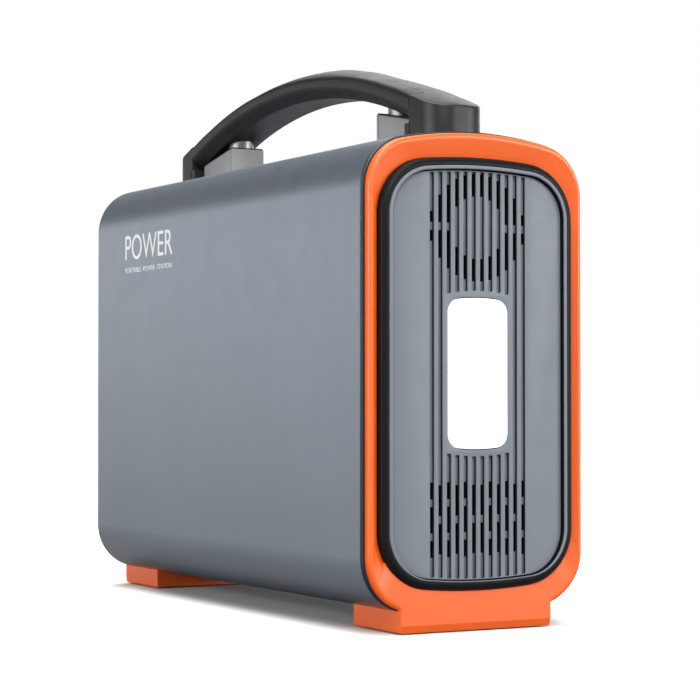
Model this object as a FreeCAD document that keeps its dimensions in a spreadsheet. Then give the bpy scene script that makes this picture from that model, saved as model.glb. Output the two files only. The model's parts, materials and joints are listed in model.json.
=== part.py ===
import FreeCAD, Part
import math
import os
import types

import Sketcher
from FreeCAD import Placement, Rotation, Vector

# A small camping power station: an aluminium tube standing on edge, closed at both ends by moulded
# frames with feet, with a carry handle along the top.
# Frame: origin on the floor under the middle, +Z up, +Y towards the rear (fan) end, +X to the left
# of someone who faces the rear end.  Millimetres.

SIZES = {
    # housing sleeve
    "sleeve_half_length": 120.0,
    "sleeve_half_width": 46.0,
    "sleeve_half_height": 86.3,
    "sleeve_corner": 19.5,
    "sleeve_crown": 155.0,
    "sleeve_wall": 2.0,
    "middle_height": 91.3,
    "fit_gap": 0.1,
    # end frames
    "bezel_crest": 123.0,
    "bezel_ledge": 120.8,
    "bezel_back": 116.6,
    "bezel_seat": 117.6,
    "bezel_rim": 1.9,
    "spigot_depth": 12.0,
    "spigot_wall": 2.4,
    "foot_half_width": 31.8,
    "foot_front": 121.7,
    "foot_length": 35.0,
    "foot_chamfer": 2.8,
    "foot_lift": 0.5,
    "foot_top": 15.0,
    "pad_inner": 14.0,
    "pad_outer": 28.0,
    "pad_start": 92.0,
    "pad_end": 116.0,
    "pad_depth": 1.5,
    # black trim ring
    "ring_half_width": 40.6,
    "ring_half_height": 76.9,
    "ring_corner": 20.3,
    "ring_crown": 220.0,
    "ring_band": 3.0,
    "ring_crest": 125.0,
    "ring_slope": 2.2,
    # raised panel frame and the panels inside it
    "rim_band": 1.3,
    "rim_crest": 125.5,
    "rim_seat": 122.0,
    "rim_back": 119.6,
    "groove_band": 0.9,
    "flange_band": 3.2,
    "panel_face": 123.7,
    "panel_back": 120.4,
    # rear grille
    "channel_count": 12.0,
    "channel_pitch": 3.468,
    "channel_width": 1.7,
    "channel_depth": 1.6,
    "channel_half_length": 69.8,
    "fan_height": 143.0,
    "fan_slot_outer": 19.2,
    "fan_slot_inner": 11.2,
    "fan_slot_bridge": 1.4,
    "fan_slot_shortest": 5.3,
    "vent_height": 39.7,
    "vent_long_top": 13.2,
    "vent_long_gap": 7.25,
    "vent_mid_half": 4.64,
    "vent_pair_top": 12.15,
    "vent_pair_gap": 1.33,
    # lamp
    "lens_half_width": 12.4,
    "lens_half_height": 27.0,
    "lens_corner": 4.0,
    "lens_crown": 70.0,
    "lens_proud": 0.4,
    "lens_thickness": 3.4,
    "lamp_channel_gap": 2.4,
    # fan
    "fan_size": 40.0,
    "fan_depth": 10.0,
    "fan_front": 118.0,
    "fan_bore_radius": 18.9,
    "fan_blade_radius": 18.2,
    "fan_hub_radius": 9.0,
    "fan_blades": 7.0,
    "fan_screw_pitch": 32.0,
    "fan_shaft_radius": 1.5,
    # handle
    "handle_top": 213.0,
    "handle_bow": 265.0,
    "handle_thickness": 11.3,
    "handle_half_width": 12.0,
    "handle_crown": 28.0,
    "handle_edge": 2.5,
    "handle_under": 7.6,
    "handle_seam": 94.6,
    "cap_end": 112.0,
    "cap_corner": 9.4,
    "cap_skirt": 91.4,
    "cap_skirt_top": 183.0,
    "tongue_half_width": 5.4,
    "tongue_start": 67.5,
    "tongue_thickness": 1.8,
    "bracket_inner": 63.0,
    "bracket_outer": 91.2,
    "bracket_half_width": 7.6,
    "bracket_inner_top": 189.9,
    "bracket_outer_top": 184.6,
    "post_radius": 5.4,
    "post_place": 69.5,
    "post_base": 186.0,
    "post_top": 197.0,
    # battery
    "cell_radius": 16.0,
    "cell_length": 70.5,
    "cell_pitch_along": 33.0,
    "cell_pitch_up": 34.0,
    "cell_first_height": 30.5,
}


class Size:
    """A length read from the sheet, together with the expression that gives it."""

    def __init__(self, value, text):
        self.value = value
        self.text = text

    @staticmethod
    def parts(other):
        if isinstance(other, Size):
            return other.value, other.text
        return float(other), repr(float(other))

    def join(self, other, sign, value):
        return Size(value, f"({self.text} {sign} {self.parts(other)[1]})")

    def __add__(self, other):
        return self.join(other, "+", self.value + self.parts(other)[0])

    def __sub__(self, other):
        return self.join(other, "-", self.value - self.parts(other)[0])

    def __mul__(self, other):
        return self.join(other, "*", self.value * self.parts(other)[0])

    def __truediv__(self, other):
        return self.join(other, "/", self.value / self.parts(other)[0])

    def __neg__(self):
        return Size(-self.value, f"(0 - {self.text})")

    def __float__(self):
        return self.value


doc = FreeCAD.newDocument("power_station")
sheet = doc.addObject("Spreadsheet::Sheet", "Sizes")
for row, (word, amount) in enumerate(SIZES.items(), 1):
    sheet.set(f"A{row}", word)
    sheet.set(f"B{row}", str(amount))
    sheet.setAlias(f"B{row}", word)
doc.recompute()
size = types.SimpleNamespace(**{word: Size(float(sheet.get(word)), f"Sizes.{word}") for word in SIZES})
nodes = []


# ---------------------------------------------------------------- helpers

def drive(thing, path, amount):
    """Set a property, by expression where the amount comes from the sheet."""
    if isinstance(amount, Size):
        thing.setExpression(path, amount.text)
    elif "." in path:
        thing.setExpression(path, repr(float(amount)))
    else:
        setattr(thing, path, amount)


def keep(thing, label):
    """Name a finished sub-part and list it for export."""
    thing.Label = label
    nodes.append(thing)
    return thing


def place(thing, x=0, y=0, z=0):
    for axis, amount in zip("xyz", (x, y, z)):
        drive(thing, f"Placement.Base.{axis}", amount)
    return thing


def box(x, y, z, length, depth, height):
    """Box from its low corner."""
    solid = doc.addObject("Part::Box", "Box")
    for path, amount in (("Length", length), ("Width", depth), ("Height", height)):
        drive(solid, path, amount)
    return place(solid, x, y, z)


def half(amount):
    return amount / 2


AXIS_TURN = {
    "x": Rotation(Vector(0, 1, 0), 90),
    "y": Rotation(Vector(1, 0, 0), -90),
    "z": Rotation(),
}


def rod(axis, radius, length, x=0, y=0, z=0):
    """Cylinder that starts at a point and runs along +axis."""
    solid = doc.addObject("Part::Cylinder", "Rod")
    drive(solid, "Radius", radius)
    drive(solid, "Height", length)
    solid.Placement = Placement(Vector(), AXIS_TURN[axis])
    return place(solid, x, y, z)


def cut(base, *tools):
    result = doc.addObject("Part::Cut", "Cut")
    result.Base = base
    result.Tool = tools[0] if len(tools) == 1 else fuse(*tools)
    return result


def fuse(*solids):
    result = doc.addObject("Part::MultiFuse", "Fuse")
    result.Shapes = list(solids)
    return result


def group(*solids):
    """Separate solids that share one node."""
    result = doc.addObject("Part::Compound", "Group")
    result.Links = list(solids)
    return result


def soften(solid, radius, *, axis=None):
    """Fillet every edge, or only those that run along one axis."""
    doc.recompute()
    direction = {"x": Vector(1, 0, 0), "y": Vector(0, 1, 0), "z": Vector(0, 0, 1)}.get(axis)
    chosen = []
    for number, edge in enumerate(solid.Shape.Edges, 1):
        along = edge.tangentAt(edge.FirstParameter)
        if direction is None or abs(along.dot(direction)) > 0.999:
            chosen.append((number, float(radius), float(radius)))
    result = doc.addObject("Part::Fillet", "Soft")
    result.Base = solid
    result.Edges = chosen
    return result


class Piece:
    """A PartDesign body that grows feature by feature."""

    ROLES = {"XY": "XY_Plane", "XZ": "XZ_Plane", "YZ": "YZ_Plane"}

    def __init__(self, name):
        self.body = doc.addObject("PartDesign::Body", name)
        self.steps = 0

    def origin(self, role):
        return next(item for item in self.body.Origin.OriginFeatures if item.Role == role)

    def sketch(self, plane, offset=0):
        """Sketch on an origin plane, moved by an offset along +Z, +Y or +X."""
        self.steps += 1
        made = self.body.newObject("Sketcher::SketchObject", f"{self.body.Name}_sketch{self.steps}")
        made.AttachmentSupport = [(self.origin(self.ROLES[plane]), "")]
        made.MapMode = "FlatFace"
        if plane == "XZ":
            offset = -offset
        drive(made, "AttachmentOffset.Base.z", offset)
        return made

    def feature(self, kind, profile, **settings):
        made = self.body.newObject(f"PartDesign::{kind}", f"{self.body.Name}_{kind}{self.steps}")
        made.Profile = profile
        for path, amount in settings.items():
            drive(made, path, amount)
        profile.Visibility = False
        doc.recompute()
        return made

    def pad(self, profile, length, **settings):
        return self.feature("Pad", profile, Length=length, **settings)

    def pocket(self, profile, length, **settings):
        """Pocket that has to take material away; from an XZ sketch it runs towards -Y, as a pad does."""
        before = self.body.Shape.Volume
        if profile.AttachmentSupport[0][0].Role == "XZ_Plane":
            settings.setdefault("Reversed", True)
        made = self.feature("Pocket", profile, Length=length, **settings)
        if self.body.Shape.Volume > before - 1e-3:
            raise ValueError(f"{made.Name} cuts nothing")
        return made

    def cut_all(self, profile):
        """Pocket through everything on both sides of the sketch."""
        return self.pocket(profile, 800.0, SideType="Symmetric")

    def fillet(self, radius, choose, kind="Fillet"):
        """Round or bevel the edges of the body that choose() accepts."""
        tip = self.body.Tip
        names = [f"Edge{number}" for number, edge in enumerate(tip.Shape.Edges, 1) if choose(edge)]
        made = self.body.newObject(f"PartDesign::{kind}", f"{self.body.Name}_{kind}{self.steps}")
        made.Base = (tip, names)
        drive(made, "Radius" if kind == "Fillet" else "Size", radius)
        doc.recompute()
        return made


def hold(profile, shape, point, x, z):
    """Fix a point of a sketch by its distances from the sketch's origin."""
    for kind, amount, axis in (("DistanceX", x, -2), ("DistanceY", z, -1)):
        if abs(float(amount)) < 1e-9:
            profile.addConstraint(Sketcher.Constraint("PointOnObject", shape, point, axis))
        elif float(amount) > 0:
            rule = profile.addConstraint(Sketcher.Constraint(kind, -1, 1, shape, point, float(amount)))
            drive_rule(profile, rule, amount)
        else:
            rule = profile.addConstraint(Sketcher.Constraint(kind, shape, point, -1, 1, -float(amount)))
            drive_rule(profile, rule, -amount)


def drive_rule(profile, rule, amount):
    if isinstance(amount, Size):
        profile.setExpression(f"Constraints[{rule}]", amount.text)


def polygon(profile, corners):
    """Closed outline through corners, each held at its own place."""
    places = [Vector(float(x), float(z), 0) for x, z in corners]
    count = len(places)
    lines = [Part.LineSegment(places[i], places[(i + 1) % count]) for i in range(count)]
    first = profile.GeometryCount
    profile.addGeometry(lines, False)
    for i in range(count):
        after = first + (i + 1) % count
        profile.addConstraint(Sketcher.Constraint("Coincident", first + i, 2, after, 1))
    for i, (x, z) in enumerate(corners):
        hold(profile, first + i, 1, x, z)
    return profile


def rectangle(profile, x_min, z_min, x_max, z_max):
    return polygon(profile, [(x_min, z_min), (x_max, z_min), (x_max, z_max), (x_min, z_max)])


def circle(profile, radius, x=0, z=0):
    ring = Part.Circle(Vector(float(x), float(z), 0), Vector(0, 0, 1), float(radius))
    number = profile.addGeometry(ring, False)
    rule = profile.addConstraint(Sketcher.Constraint("Radius", number, float(radius)))
    drive_rule(profile, rule, radius)
    hold(profile, number, 3, x, z)
    return profile


def crowned(profile, family, *insets):
    """Rounded rectangle whose top and bottom are gently crowned, made smaller all round by insets.

    It is eight tangent pieces: two upright sides, four corner arcs and two crown arcs.
    """
    inset = Size(0.0, "0")
    for part in insets:
        inset = inset + part
    wide = getattr(size, f"{family}_half_width") - inset
    tall = getattr(size, f"{family}_half_height") - inset
    corner = getattr(size, f"{family}_corner") - inset
    crown = getattr(size, f"{family}_crown") - inset
    middle = size.middle_height
    reach = float(crown) - float(corner)
    corner_x = float(wide) - float(corner)
    corner_z = math.sqrt(reach ** 2 - corner_x ** 2) - float(crown) + float(tall)
    tilt = math.degrees(math.asin(corner_x / reach))
    up = float(middle)

    def arc(x, z, radius, start, end):
        ring = Part.Circle(Vector(x, z, 0), Vector(0, 0, 1), float(radius))
        return Part.ArcOfCircle(ring, math.radians(start), math.radians(end))

    right, low, high = float(wide), up - corner_z, up + corner_z
    crown_drop = float(tall) - float(crown)
    shapes = [
        Part.LineSegment(Vector(right, low, 0), Vector(right, high, 0)),
        arc(corner_x, high, corner, 0, 90 - tilt),
        arc(0, up + crown_drop, crown, 90 - tilt, 90 + tilt),
        arc(-corner_x, high, corner, 90 + tilt, 180),
        Part.LineSegment(Vector(-right, high, 0), Vector(-right, low, 0)),
        arc(-corner_x, low, corner, 180, 270 - tilt),
        arc(0, up - crown_drop, crown, 270 - tilt, 270 + tilt),
        arc(corner_x, low, corner, 270 + tilt, 360),
    ]
    first = profile.GeometryCount
    profile.addGeometry(shapes, False)
    rules = []
    for i in range(8):
        rules.append(Sketcher.Constraint("Tangent", first + i, 2, first + (i + 1) % 8, 1))
    rules.append(Sketcher.Constraint("Vertical", first))
    rules.append(Sketcher.Constraint("Vertical", first + 4))
    for other in (3, 5, 7):
        rules.append(Sketcher.Constraint("Equal", first + 1, first + other))
    rules.append(Sketcher.Constraint("Equal", first + 2, first + 6))
    for other in (2, 6):
        rules.append(Sketcher.Constraint("PointOnObject", first + other, 3, -2))
    profile.addConstraint(rules)
    below = crown - tall
    measures = [
        ("Radius", (first + 1,), corner),
        ("Radius", (first + 2,), crown),
        ("DistanceX", (-1, 1, first, 1), wide),
        ("DistanceX", (first + 4, 1, -1, 1), wide),
        ("DistanceY", (-1, 1, first + 6, 3), middle + below),
        ("DistanceY", (first + 2, 3, first + 6, 3), below * 2),
    ]
    for kind, shapes_of, amount in measures:
        rule = profile.addConstraint(Sketcher.Constraint(kind, *shapes_of, float(amount)))
        drive_rule(profile, rule, amount)
    return profile


# ---------------------------------------------------------------- housing and end frames

REAR = Placement()
FRONT = Placement(Vector(), Rotation(Vector(0, 0, 1), 180))
ENDS = (("rear", REAR, 1), ("front", FRONT, -1))

screw_gap = 0.1
pad_gap = 0.2
foot_screw_radius = 1.5
foot_screw_places = (-9.0, 9.0)
foot_screw_from_end = 14.0
foot_screw_well = (3.0, 3.2)
handle_screw_radius = 2.0
handle_screw_places = (70.0, 83.0)
handle_screw_head = (3.6, 2.2)
handle_screw_length = 10.85
head_drop = 0.15

# Ledge inside the spigot that takes the foot screws.
boss_start, boss_length = 8.0, 12.0
boss_half_width = 16.0
boss_bottom, boss_top = 8.0, 12.0

# Two points of the crease where the dished slope meets the flat lower face.
crease_top, crease_end = (34.3, 31.0), (46.0, 11.1)

# A plane, and a cutting depth, that are clear of every part.
CLEAR = 130.0
THROUGH = 400.0


def housing_sleeve():
    """Extruded aluminium tube, drilled for the handle and foot screws."""
    piece = Piece("Sleeve")
    outline = piece.sketch("XZ", size.sleeve_half_length)
    crowned(outline, "sleeve")
    crowned(outline, "sleeve", size.sleeve_wall)
    piece.pad(outline, size.sleeve_half_length * 2)
    top_holes = piece.sketch("XY", size.middle_height)
    bottom_holes = piece.sketch("XY", size.middle_height)
    for side in (1, -1):
        for along in handle_screw_places:
            circle(top_holes, handle_screw_radius + screw_gap, 0, side * along)
        for across in foot_screw_places:
            along = (size.sleeve_half_length - foot_screw_from_end) * side
            circle(bottom_holes, foot_screw_radius + screw_gap, across, along)
    piece.pocket(top_holes, THROUGH, Reversed=True)
    piece.pocket(bottom_holes, THROUGH)
    keep(piece.body, "housing_sleeve")


def bezel(end, placement):
    """Moulded end frame: dished face, flat lower face, spigot inside the tube and the foot under it."""
    piece = Piece(f"{end}_Bezel")
    foot = piece.sketch("XZ", size.foot_front)
    rectangle(foot, -size.foot_half_width, size.foot_lift, size.foot_half_width, size.foot_top)
    piece.pad(foot, size.foot_length)
    under_tube = piece.sketch("XZ", size.sleeve_half_length)
    crowned(under_tube, "sleeve")
    piece.pocket(under_tube, size.foot_length * 2)
    face = piece.sketch("XZ", size.bezel_crest)
    crowned(face, "sleeve", size.sleeve_wall)
    piece.pad(face, size.bezel_crest - size.bezel_seat)
    spigot = piece.sketch("XZ", size.sleeve_half_length)
    crowned(spigot, "sleeve", size.sleeve_wall, size.fit_gap)
    crowned(spigot, "sleeve", size.sleeve_wall, size.fit_gap, size.spigot_wall)
    piece.pad(spigot, size.spigot_depth)
    boss = piece.sketch("XZ", size.sleeve_half_length - boss_start)
    rectangle(boss, -boss_half_width, boss_bottom, boss_half_width, boss_top)
    piece.pad(boss, boss_length)
    ledge = piece.sketch("XZ", size.bezel_ledge)
    crowned(ledge, "ring")
    crest = piece.sketch("XZ", size.bezel_crest)
    crowned(crest, "sleeve", size.sleeve_wall, size.bezel_rim)
    dish = piece.feature("SubtractiveLoft", crest, Ruled=True)
    dish.Sections = [(ledge, [""])]
    doc.recompute()
    opening = piece.sketch("XZ", CLEAR)
    crowned(opening, "ring", -size.fit_gap)
    piece.pocket(opening, CLEAR / 2)
    trim_lower_face(piece)
    bore_foot(piece)
    piece.body.Placement = placement
    keep(piece.body, f"{end}_bezel")


def trim_lower_face(piece):
    """Cut the crest down to the foot's front along the lower edge, and bevel the foot's nose."""
    lower_face = piece.sketch("XZ", CLEAR)
    corners = [crease_top, crease_end, (crease_end[0], -1.0)]
    polygon(lower_face, corners + [(-x, z) for x, z in reversed(corners)])
    piece.pocket(lower_face, -size.foot_front + CLEAR)
    nose = piece.sketch("YZ")
    bevel_top = size.foot_lift + size.foot_chamfer - size.foot_front + CLEAR
    polygon(nose, [(size.foot_front - size.foot_chamfer, size.foot_lift), (CLEAR, size.foot_lift),
                   (CLEAR, bevel_top)])
    piece.cut_all(nose)


def bore_foot(piece):
    """Screw holes, wells for their heads and recesses for the rubber pads, from below."""
    screws = piece.sketch("XY")
    heads = piece.sketch("XY")
    well_radius, well_depth = foot_screw_well
    for across in foot_screw_places:
        along = size.sleeve_half_length - foot_screw_from_end
        circle(screws, foot_screw_radius + screw_gap, across, along)
        circle(heads, well_radius, across, along)
    piece.pocket(screws, size.foot_top, Reversed=True)
    piece.pocket(heads, well_depth, Reversed=True)
    pads = piece.sketch("XY")
    rectangle(pads, size.pad_inner, size.pad_start, size.pad_outer, size.pad_end)
    rectangle(pads, -size.pad_outer, size.pad_start, -size.pad_inner, size.pad_end)
    piece.pocket(pads, size.pad_depth, Reversed=True)


def trim_ring(end, placement):
    """Black ring that covers the joint between the end frame and the panel."""
    piece = Piece(f"{end}_Ring")
    band = piece.sketch("XZ", size.ring_crest)
    crowned(band, "ring")
    crowned(band, "ring", size.ring_band)
    piece.pad(band, size.ring_crest - size.bezel_back)
    crest = float(size.ring_crest)
    inner = float(size.ring_half_width - size.ring_band)
    piece.fillet(size.ring_slope, lambda edge: on_outer_edge(edge, crest, inner))
    piece.body.Placement = placement
    keep(piece.body, f"{end}_trim_ring")


def on_outer_edge(edge, crest, inner):
    """True for an edge of the crest plane that belongs to the outer outline."""
    box_of = edge.BoundBox
    if abs(box_of.YMin - crest) > 1e-4 or abs(box_of.YMax - crest) > 1e-4:
        return False
    if edge.Curve.TypeId == "Part::GeomLine":
        return abs(edge.Vertexes[0].X) > inner + 1
    outer_radii = (float(size.ring_corner), float(size.ring_crown))
    return min(abs(edge.Curve.Radius - radius) for radius in outer_radii) < 1e-3


def panel_frame(end, placement):
    """Grey rim round the panel, with the flange that the panel rests on."""
    piece = Piece(f"{end}_Rim")
    rim = piece.sketch("XZ", size.rim_crest)
    crowned(rim, "ring", size.ring_band, size.fit_gap)
    crowned(rim, "ring", size.ring_band, size.fit_gap, size.rim_band)
    piece.pad(rim, size.rim_crest - size.rim_back)
    flange = piece.sketch("XZ", size.rim_seat)
    crowned(flange, "ring", size.ring_band, size.fit_gap)
    crowned(flange, "ring", size.ring_band, size.fit_gap, size.flange_band)
    piece.pad(flange, size.rim_seat - size.rim_back)
    piece.body.Placement = placement
    keep(piece.body, f"{end}_panel_frame")


def panel_blank(piece):
    """Stepped plate that drops into the panel frame."""
    face = piece.sketch("XZ", size.panel_face)
    crowned(face, "ring", size.ring_band, size.fit_gap, size.rim_band, size.groove_band)
    piece.pad(face, size.panel_face - size.rim_seat)
    back = piece.sketch("XZ", size.rim_seat)
    crowned(back, "ring", size.ring_band, size.fit_gap, size.flange_band, size.fit_gap)
    piece.pad(back, size.rim_seat - size.panel_back)


# ---------------------------------------------------------------- rear panel, lamp and fan

def channel_places():
    count = int(float(size.channel_count))
    pitch = float(size.channel_pitch)
    return [(i - (count - 1) / 2) * pitch for i in range(count)]


def channel_spans(x):
    """Heights between which a channel at x is cut, stopping short of the lamp."""
    middle = float(size.middle_height)
    reach = float(size.channel_half_length)
    lens = float(size.lens_half_width)
    if abs(x) > lens + 1:
        return [(middle - reach, middle + reach)]
    crown = float(size.lens_crown)
    arch = crown - math.sqrt(crown ** 2 - x ** 2)
    stop = float(size.lens_half_height + size.lamp_channel_gap) - arch
    return [(middle - reach, middle - stop), (middle + stop, middle + reach)]


def fan_slot_spans(x):
    outer = math.sqrt(max(0.0, float(size.fan_slot_outer) ** 2 - x ** 2))
    outer = max(outer, float(size.fan_slot_shortest))
    inner = math.sqrt(max(0.0, float(size.fan_slot_inner) ** 2 - x ** 2))
    inner = max(inner, float(size.fan_slot_bridge))
    centre = float(size.fan_height)
    return [(centre - outer, centre - inner), (centre + inner, centre + outer)]


def vent_slot_spans(column):
    centre = float(size.vent_height)
    count = int(float(size.channel_count))
    from_edge = min(column, count - 1 - column)
    if from_edge % 2 == 0:
        top, gap, mid = (float(v) for v in (size.vent_long_top, size.vent_long_gap, size.vent_mid_half))
        spans = [(gap, top), (-mid, mid), (-top, -gap)]
    else:
        top, gap = float(size.vent_pair_top), float(size.vent_pair_gap)
        spans = [(gap, top), (-top, -gap)]
    return [(centre + low, centre + high) for low, high in spans]


def plain_bars(profile, bars, width):
    """Upright rectangles given as (x, low, high), left free of dimensions because they are many."""
    lines = []
    for x, low, high in bars:
        corners = [(x - width / 2, low), (x + width / 2, low), (x + width / 2, high), (x - width / 2, high)]
        points = [Vector(a, b, 0) for a, b in corners]
        lines += [Part.LineSegment(points[i], points[(i + 1) % 4]) for i in range(4)]
    profile.addGeometry(lines, False)


fan_screw_radius = 1.25
fan_screw_length = 5.0
fan_boss_radius = 2.0


def fan_screw_centres():
    """The four corners of the fan's screw square, as (x, z)."""
    reach = half(size.fan_screw_pitch)
    return [(x, size.fan_height + z) for x in (-reach, reach) for z in (-reach, reach)]


def rear_grille():
    """Panel with twelve upright channels; the fan ring and the lower vent are cut through them."""
    piece = Piece("Grille")
    panel_blank(piece)
    width = float(size.channel_width)
    channels = piece.sketch("XZ", size.panel_face)
    slots = piece.sketch("XZ", size.panel_face)
    grooves, cuts = [], []
    for column, x in enumerate(channel_places()):
        grooves += [(x, low, high) for low, high in channel_spans(x)]
        cuts += [(x, low, high) for low, high in fan_slot_spans(x) + vent_slot_spans(column)]
    plain_bars(channels, grooves, width)
    plain_bars(slots, cuts, width)
    piece.pocket(channels, size.channel_depth)
    piece.pocket(slots, CLEAR)
    window = piece.sketch("XZ", size.panel_face)
    crowned(window, "lens", -size.fit_gap)
    piece.pocket(window, CLEAR)
    bosses = piece.sketch("XZ", size.panel_back)
    pilots = piece.sketch("XZ", size.panel_back + 1.0)
    for x, z in fan_screw_centres():
        circle(bosses, fan_boss_radius, x, z)
        circle(pilots, fan_screw_radius + half(screw_gap), x, z)
    piece.pad(bosses, size.panel_back - size.fan_front)
    piece.pocket(pilots, fan_screw_length)
    keep(piece.body, "rear_grille")


tray_front, tray_floor, tray_back = 120.2, 113.2, 112.0
tray_outset, tray_wall = 3.0, 1.6
tray_window = (8.6, 22.6)
board_thickness = 1.6
board_gap = 0.2
lamp_board_half = (14.0, 28.0)
led_size = (2.8, 0.8, 3.5)
led_pitch = (6.0, 6.6)
led_columns, led_rows = 3, 7


def lamp():
    """Opal lens, white reflector tray, and the board with its LEDs."""
    piece = Piece("Lens")
    outline = piece.sketch("XZ", size.panel_face + size.lens_proud)
    crowned(outline, "lens")
    piece.pad(outline, size.lens_thickness)
    keep(piece.body, "lamp_lens")

    tray = Piece("Tray")
    wall = tray.sketch("XZ", tray_front)
    crowned(wall, "lens", -tray_outset)
    tray.pad(wall, tray_front - tray_back)
    hollow = tray.sketch("XZ", tray_front)
    crowned(hollow, "lens", tray_wall - tray_outset)
    tray.pocket(hollow, tray_front - tray_floor)
    back = tray.sketch("XZ", tray_floor)
    wide, tall = tray_window
    rectangle(back, -wide, size.middle_height - tall, wide, size.middle_height + tall)
    tray.pocket(back, size.fan_depth)
    keep(tray.body, "lamp_reflector")

    wide, tall = lamp_board_half
    board_face = tray_back - board_gap
    board = box(-wide, board_face - board_thickness, size.middle_height - tall,
                wide * 2, board_thickness, tall * 2)
    keep(board, "lamp_board")
    leds = []
    for column in range(led_columns):
        for row in range(led_rows):
            x = (column - half(led_columns - 1)) * led_pitch[0] - half(led_size[0])
            z = (row - half(led_rows - 1)) * led_pitch[1] - half(led_size[2])
            leds.append(box(x, board_face, size.middle_height + z, *led_size))
    keep(group(*leds), "lamp_leds")


strut_thickness, strut_width = 1.4, 2.4
bearing_radius, bearing_length = 3.2, 6.0
shaft_gap = 0.05
screw_hole_radius = 1.7
rotor_inset = 0.8
rotor_length = 7.0
rotor_skin = 1.2
blade_chord, blade_thickness = 3.2, 1.0
blade_root = 0.8
fan_screw_head = (2.6, 1.8)


def fan():
    """Square fan: frame with bearing boss, rotor with a hub and slanted blades, four screws."""
    frame = Piece("FanFrame")
    side = half(size.fan_size)
    back = size.fan_front - size.fan_depth
    shell = frame.sketch("XZ", size.fan_front)
    rectangle(shell, -side, size.fan_height - side, side, size.fan_height + side)
    circle(shell, size.fan_bore_radius, 0, size.fan_height)
    frame.pad(shell, size.fan_depth)
    spider = frame.sketch("XZ", back + strut_thickness)
    circle(spider, size.fan_hub_radius, 0, size.fan_height)
    frame.pad(spider, strut_thickness)
    reach = side - rotor_inset
    for wide, tall in ((reach, strut_width / 2), (strut_width / 2, reach)):
        strut = frame.sketch("XZ", back + strut_thickness)
        rectangle(strut, -wide, size.fan_height - tall, wide, size.fan_height + tall)
        frame.pad(strut, strut_thickness)
    tube = frame.sketch("XZ", back + rotor_length)
    circle(tube, bearing_radius, 0, size.fan_height)
    frame.pad(tube, bearing_length)
    bore = frame.sketch("XZ", back + rotor_length)
    circle(bore, size.fan_shaft_radius + shaft_gap, 0, size.fan_height)
    frame.pocket(bore, bearing_length)
    holes = frame.sketch("XZ", size.fan_front)
    for x, z in fan_screw_centres():
        circle(holes, screw_hole_radius, x, z)
    frame.pocket(holes, size.fan_depth * 2)
    keep(frame.body, "fan_frame")

    rotor = Piece("FanRotor")
    hub = rotor.sketch("XZ", size.fan_front - rotor_inset)
    circle(hub, size.fan_hub_radius - 0.2)
    rotor.pad(hub, rotor_length)
    hollow = rotor.sketch("XZ", size.fan_front - rotor_inset - rotor_skin)
    circle(hollow, size.fan_hub_radius - 0.2 - rotor_skin)
    rotor.pocket(hollow, size.fan_depth)
    shaft = rotor.sketch("XZ", size.fan_front - rotor_inset * 2)
    circle(shaft, size.fan_shaft_radius)
    rotor.pad(shaft, rotor_length - 0.4)
    blade = rotor.sketch("XY", size.fan_hub_radius - blade_root)
    front, rear = float(size.fan_front) - 1.0, float(size.fan_front) - 7.2
    lean = blade_chord - blade_thickness
    polygon(blade, [(-blade_chord, rear), (-lean, rear), (blade_chord, front), (lean, front)])
    vane = rotor.pad(blade, size.fan_blade_radius - size.fan_hub_radius + half(blade_root))
    wheel = rotor.body.newObject("PartDesign::PolarPattern", "FanBlades")
    wheel.Originals = [vane]
    wheel.Axis = (rotor.origin("Y_Axis"), [""])
    wheel.Angle = 360
    wheel.Occurrences = int(float(size.fan_blades))
    rotor.body.Tip = wheel
    rotor.body.Placement = Placement(Vector(0, 0, float(size.fan_height)), Rotation())
    rotor.body.setExpression("Placement.Base.z", size.fan_height.text)
    doc.recompute()
    keep(rotor.body, "fan_rotor")

    screws = []
    head_radius, head_height = fan_screw_head
    for x, z in fan_screw_centres():
        shank = rod("y", fan_screw_radius, size.fan_depth + 2.0, x, back, z)
        head = rod("y", head_radius, head_height, x, back - head_height, z)
        screws.append(fuse(shank, head))
    keep(group(*screws), "fan_screws")


# ---------------------------------------------------------------- handle

cap_depth = 42.0
under_slope = 0.8
grip_turn, cap_turn = 48.0, 52.0
seam_gap = 0.15
tongue_gap = 0.12
below_handle, above_handle = 120.0, 230.0
well_half_width, well_start, well_end, well_top = 8.0, 97.0, 108.0, 183.0
thread_start, thread_depth = 170.0, 14.8


def bow_section(piece, deep):
    """Cross-section of the bow: crowned top, upright sides, rounded lower edges."""
    profile = piece.sketch("XZ")
    side, top, crown, edge = (
        float(amount)
        for amount in (size.handle_half_width, size.handle_top, size.handle_crown, size.handle_edge)
    )
    reach = side - edge
    tilt = math.asin(reach / (crown - edge))
    edge_z = top - crown + (crown - edge) * math.cos(tilt)
    low = top - deep

    def arc(x, z, radius, start, end):
        return Part.ArcOfCircle(Part.Circle(Vector(x, z, 0), Vector(0, 0, 1), radius), start, end)

    quarter = math.pi / 2
    under = float(size.handle_under)
    shapes = [
        arc(reach, edge_z, edge, 0, quarter - tilt),
        arc(0, top - crown, crown, quarter - tilt, quarter + tilt),
        arc(-reach, edge_z, edge, quarter + tilt, math.pi),
    ]
    if deep == cap_depth:
        corners = [(-side, edge_z), (-side, low), (side, low), (side, edge_z)]
    else:
        bend = low + (side - under) * under_slope
        corners = [(-side, edge_z), (-side, bend), (-under, low), (under, low), (side, bend), (side, edge_z)]
    points = [Vector(x, z, 0) for x, z in corners]
    shapes += [Part.LineSegment(a, b) for a, b in zip(points, points[1:])]
    profile.addGeometry(shapes, False)
    return profile


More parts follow.
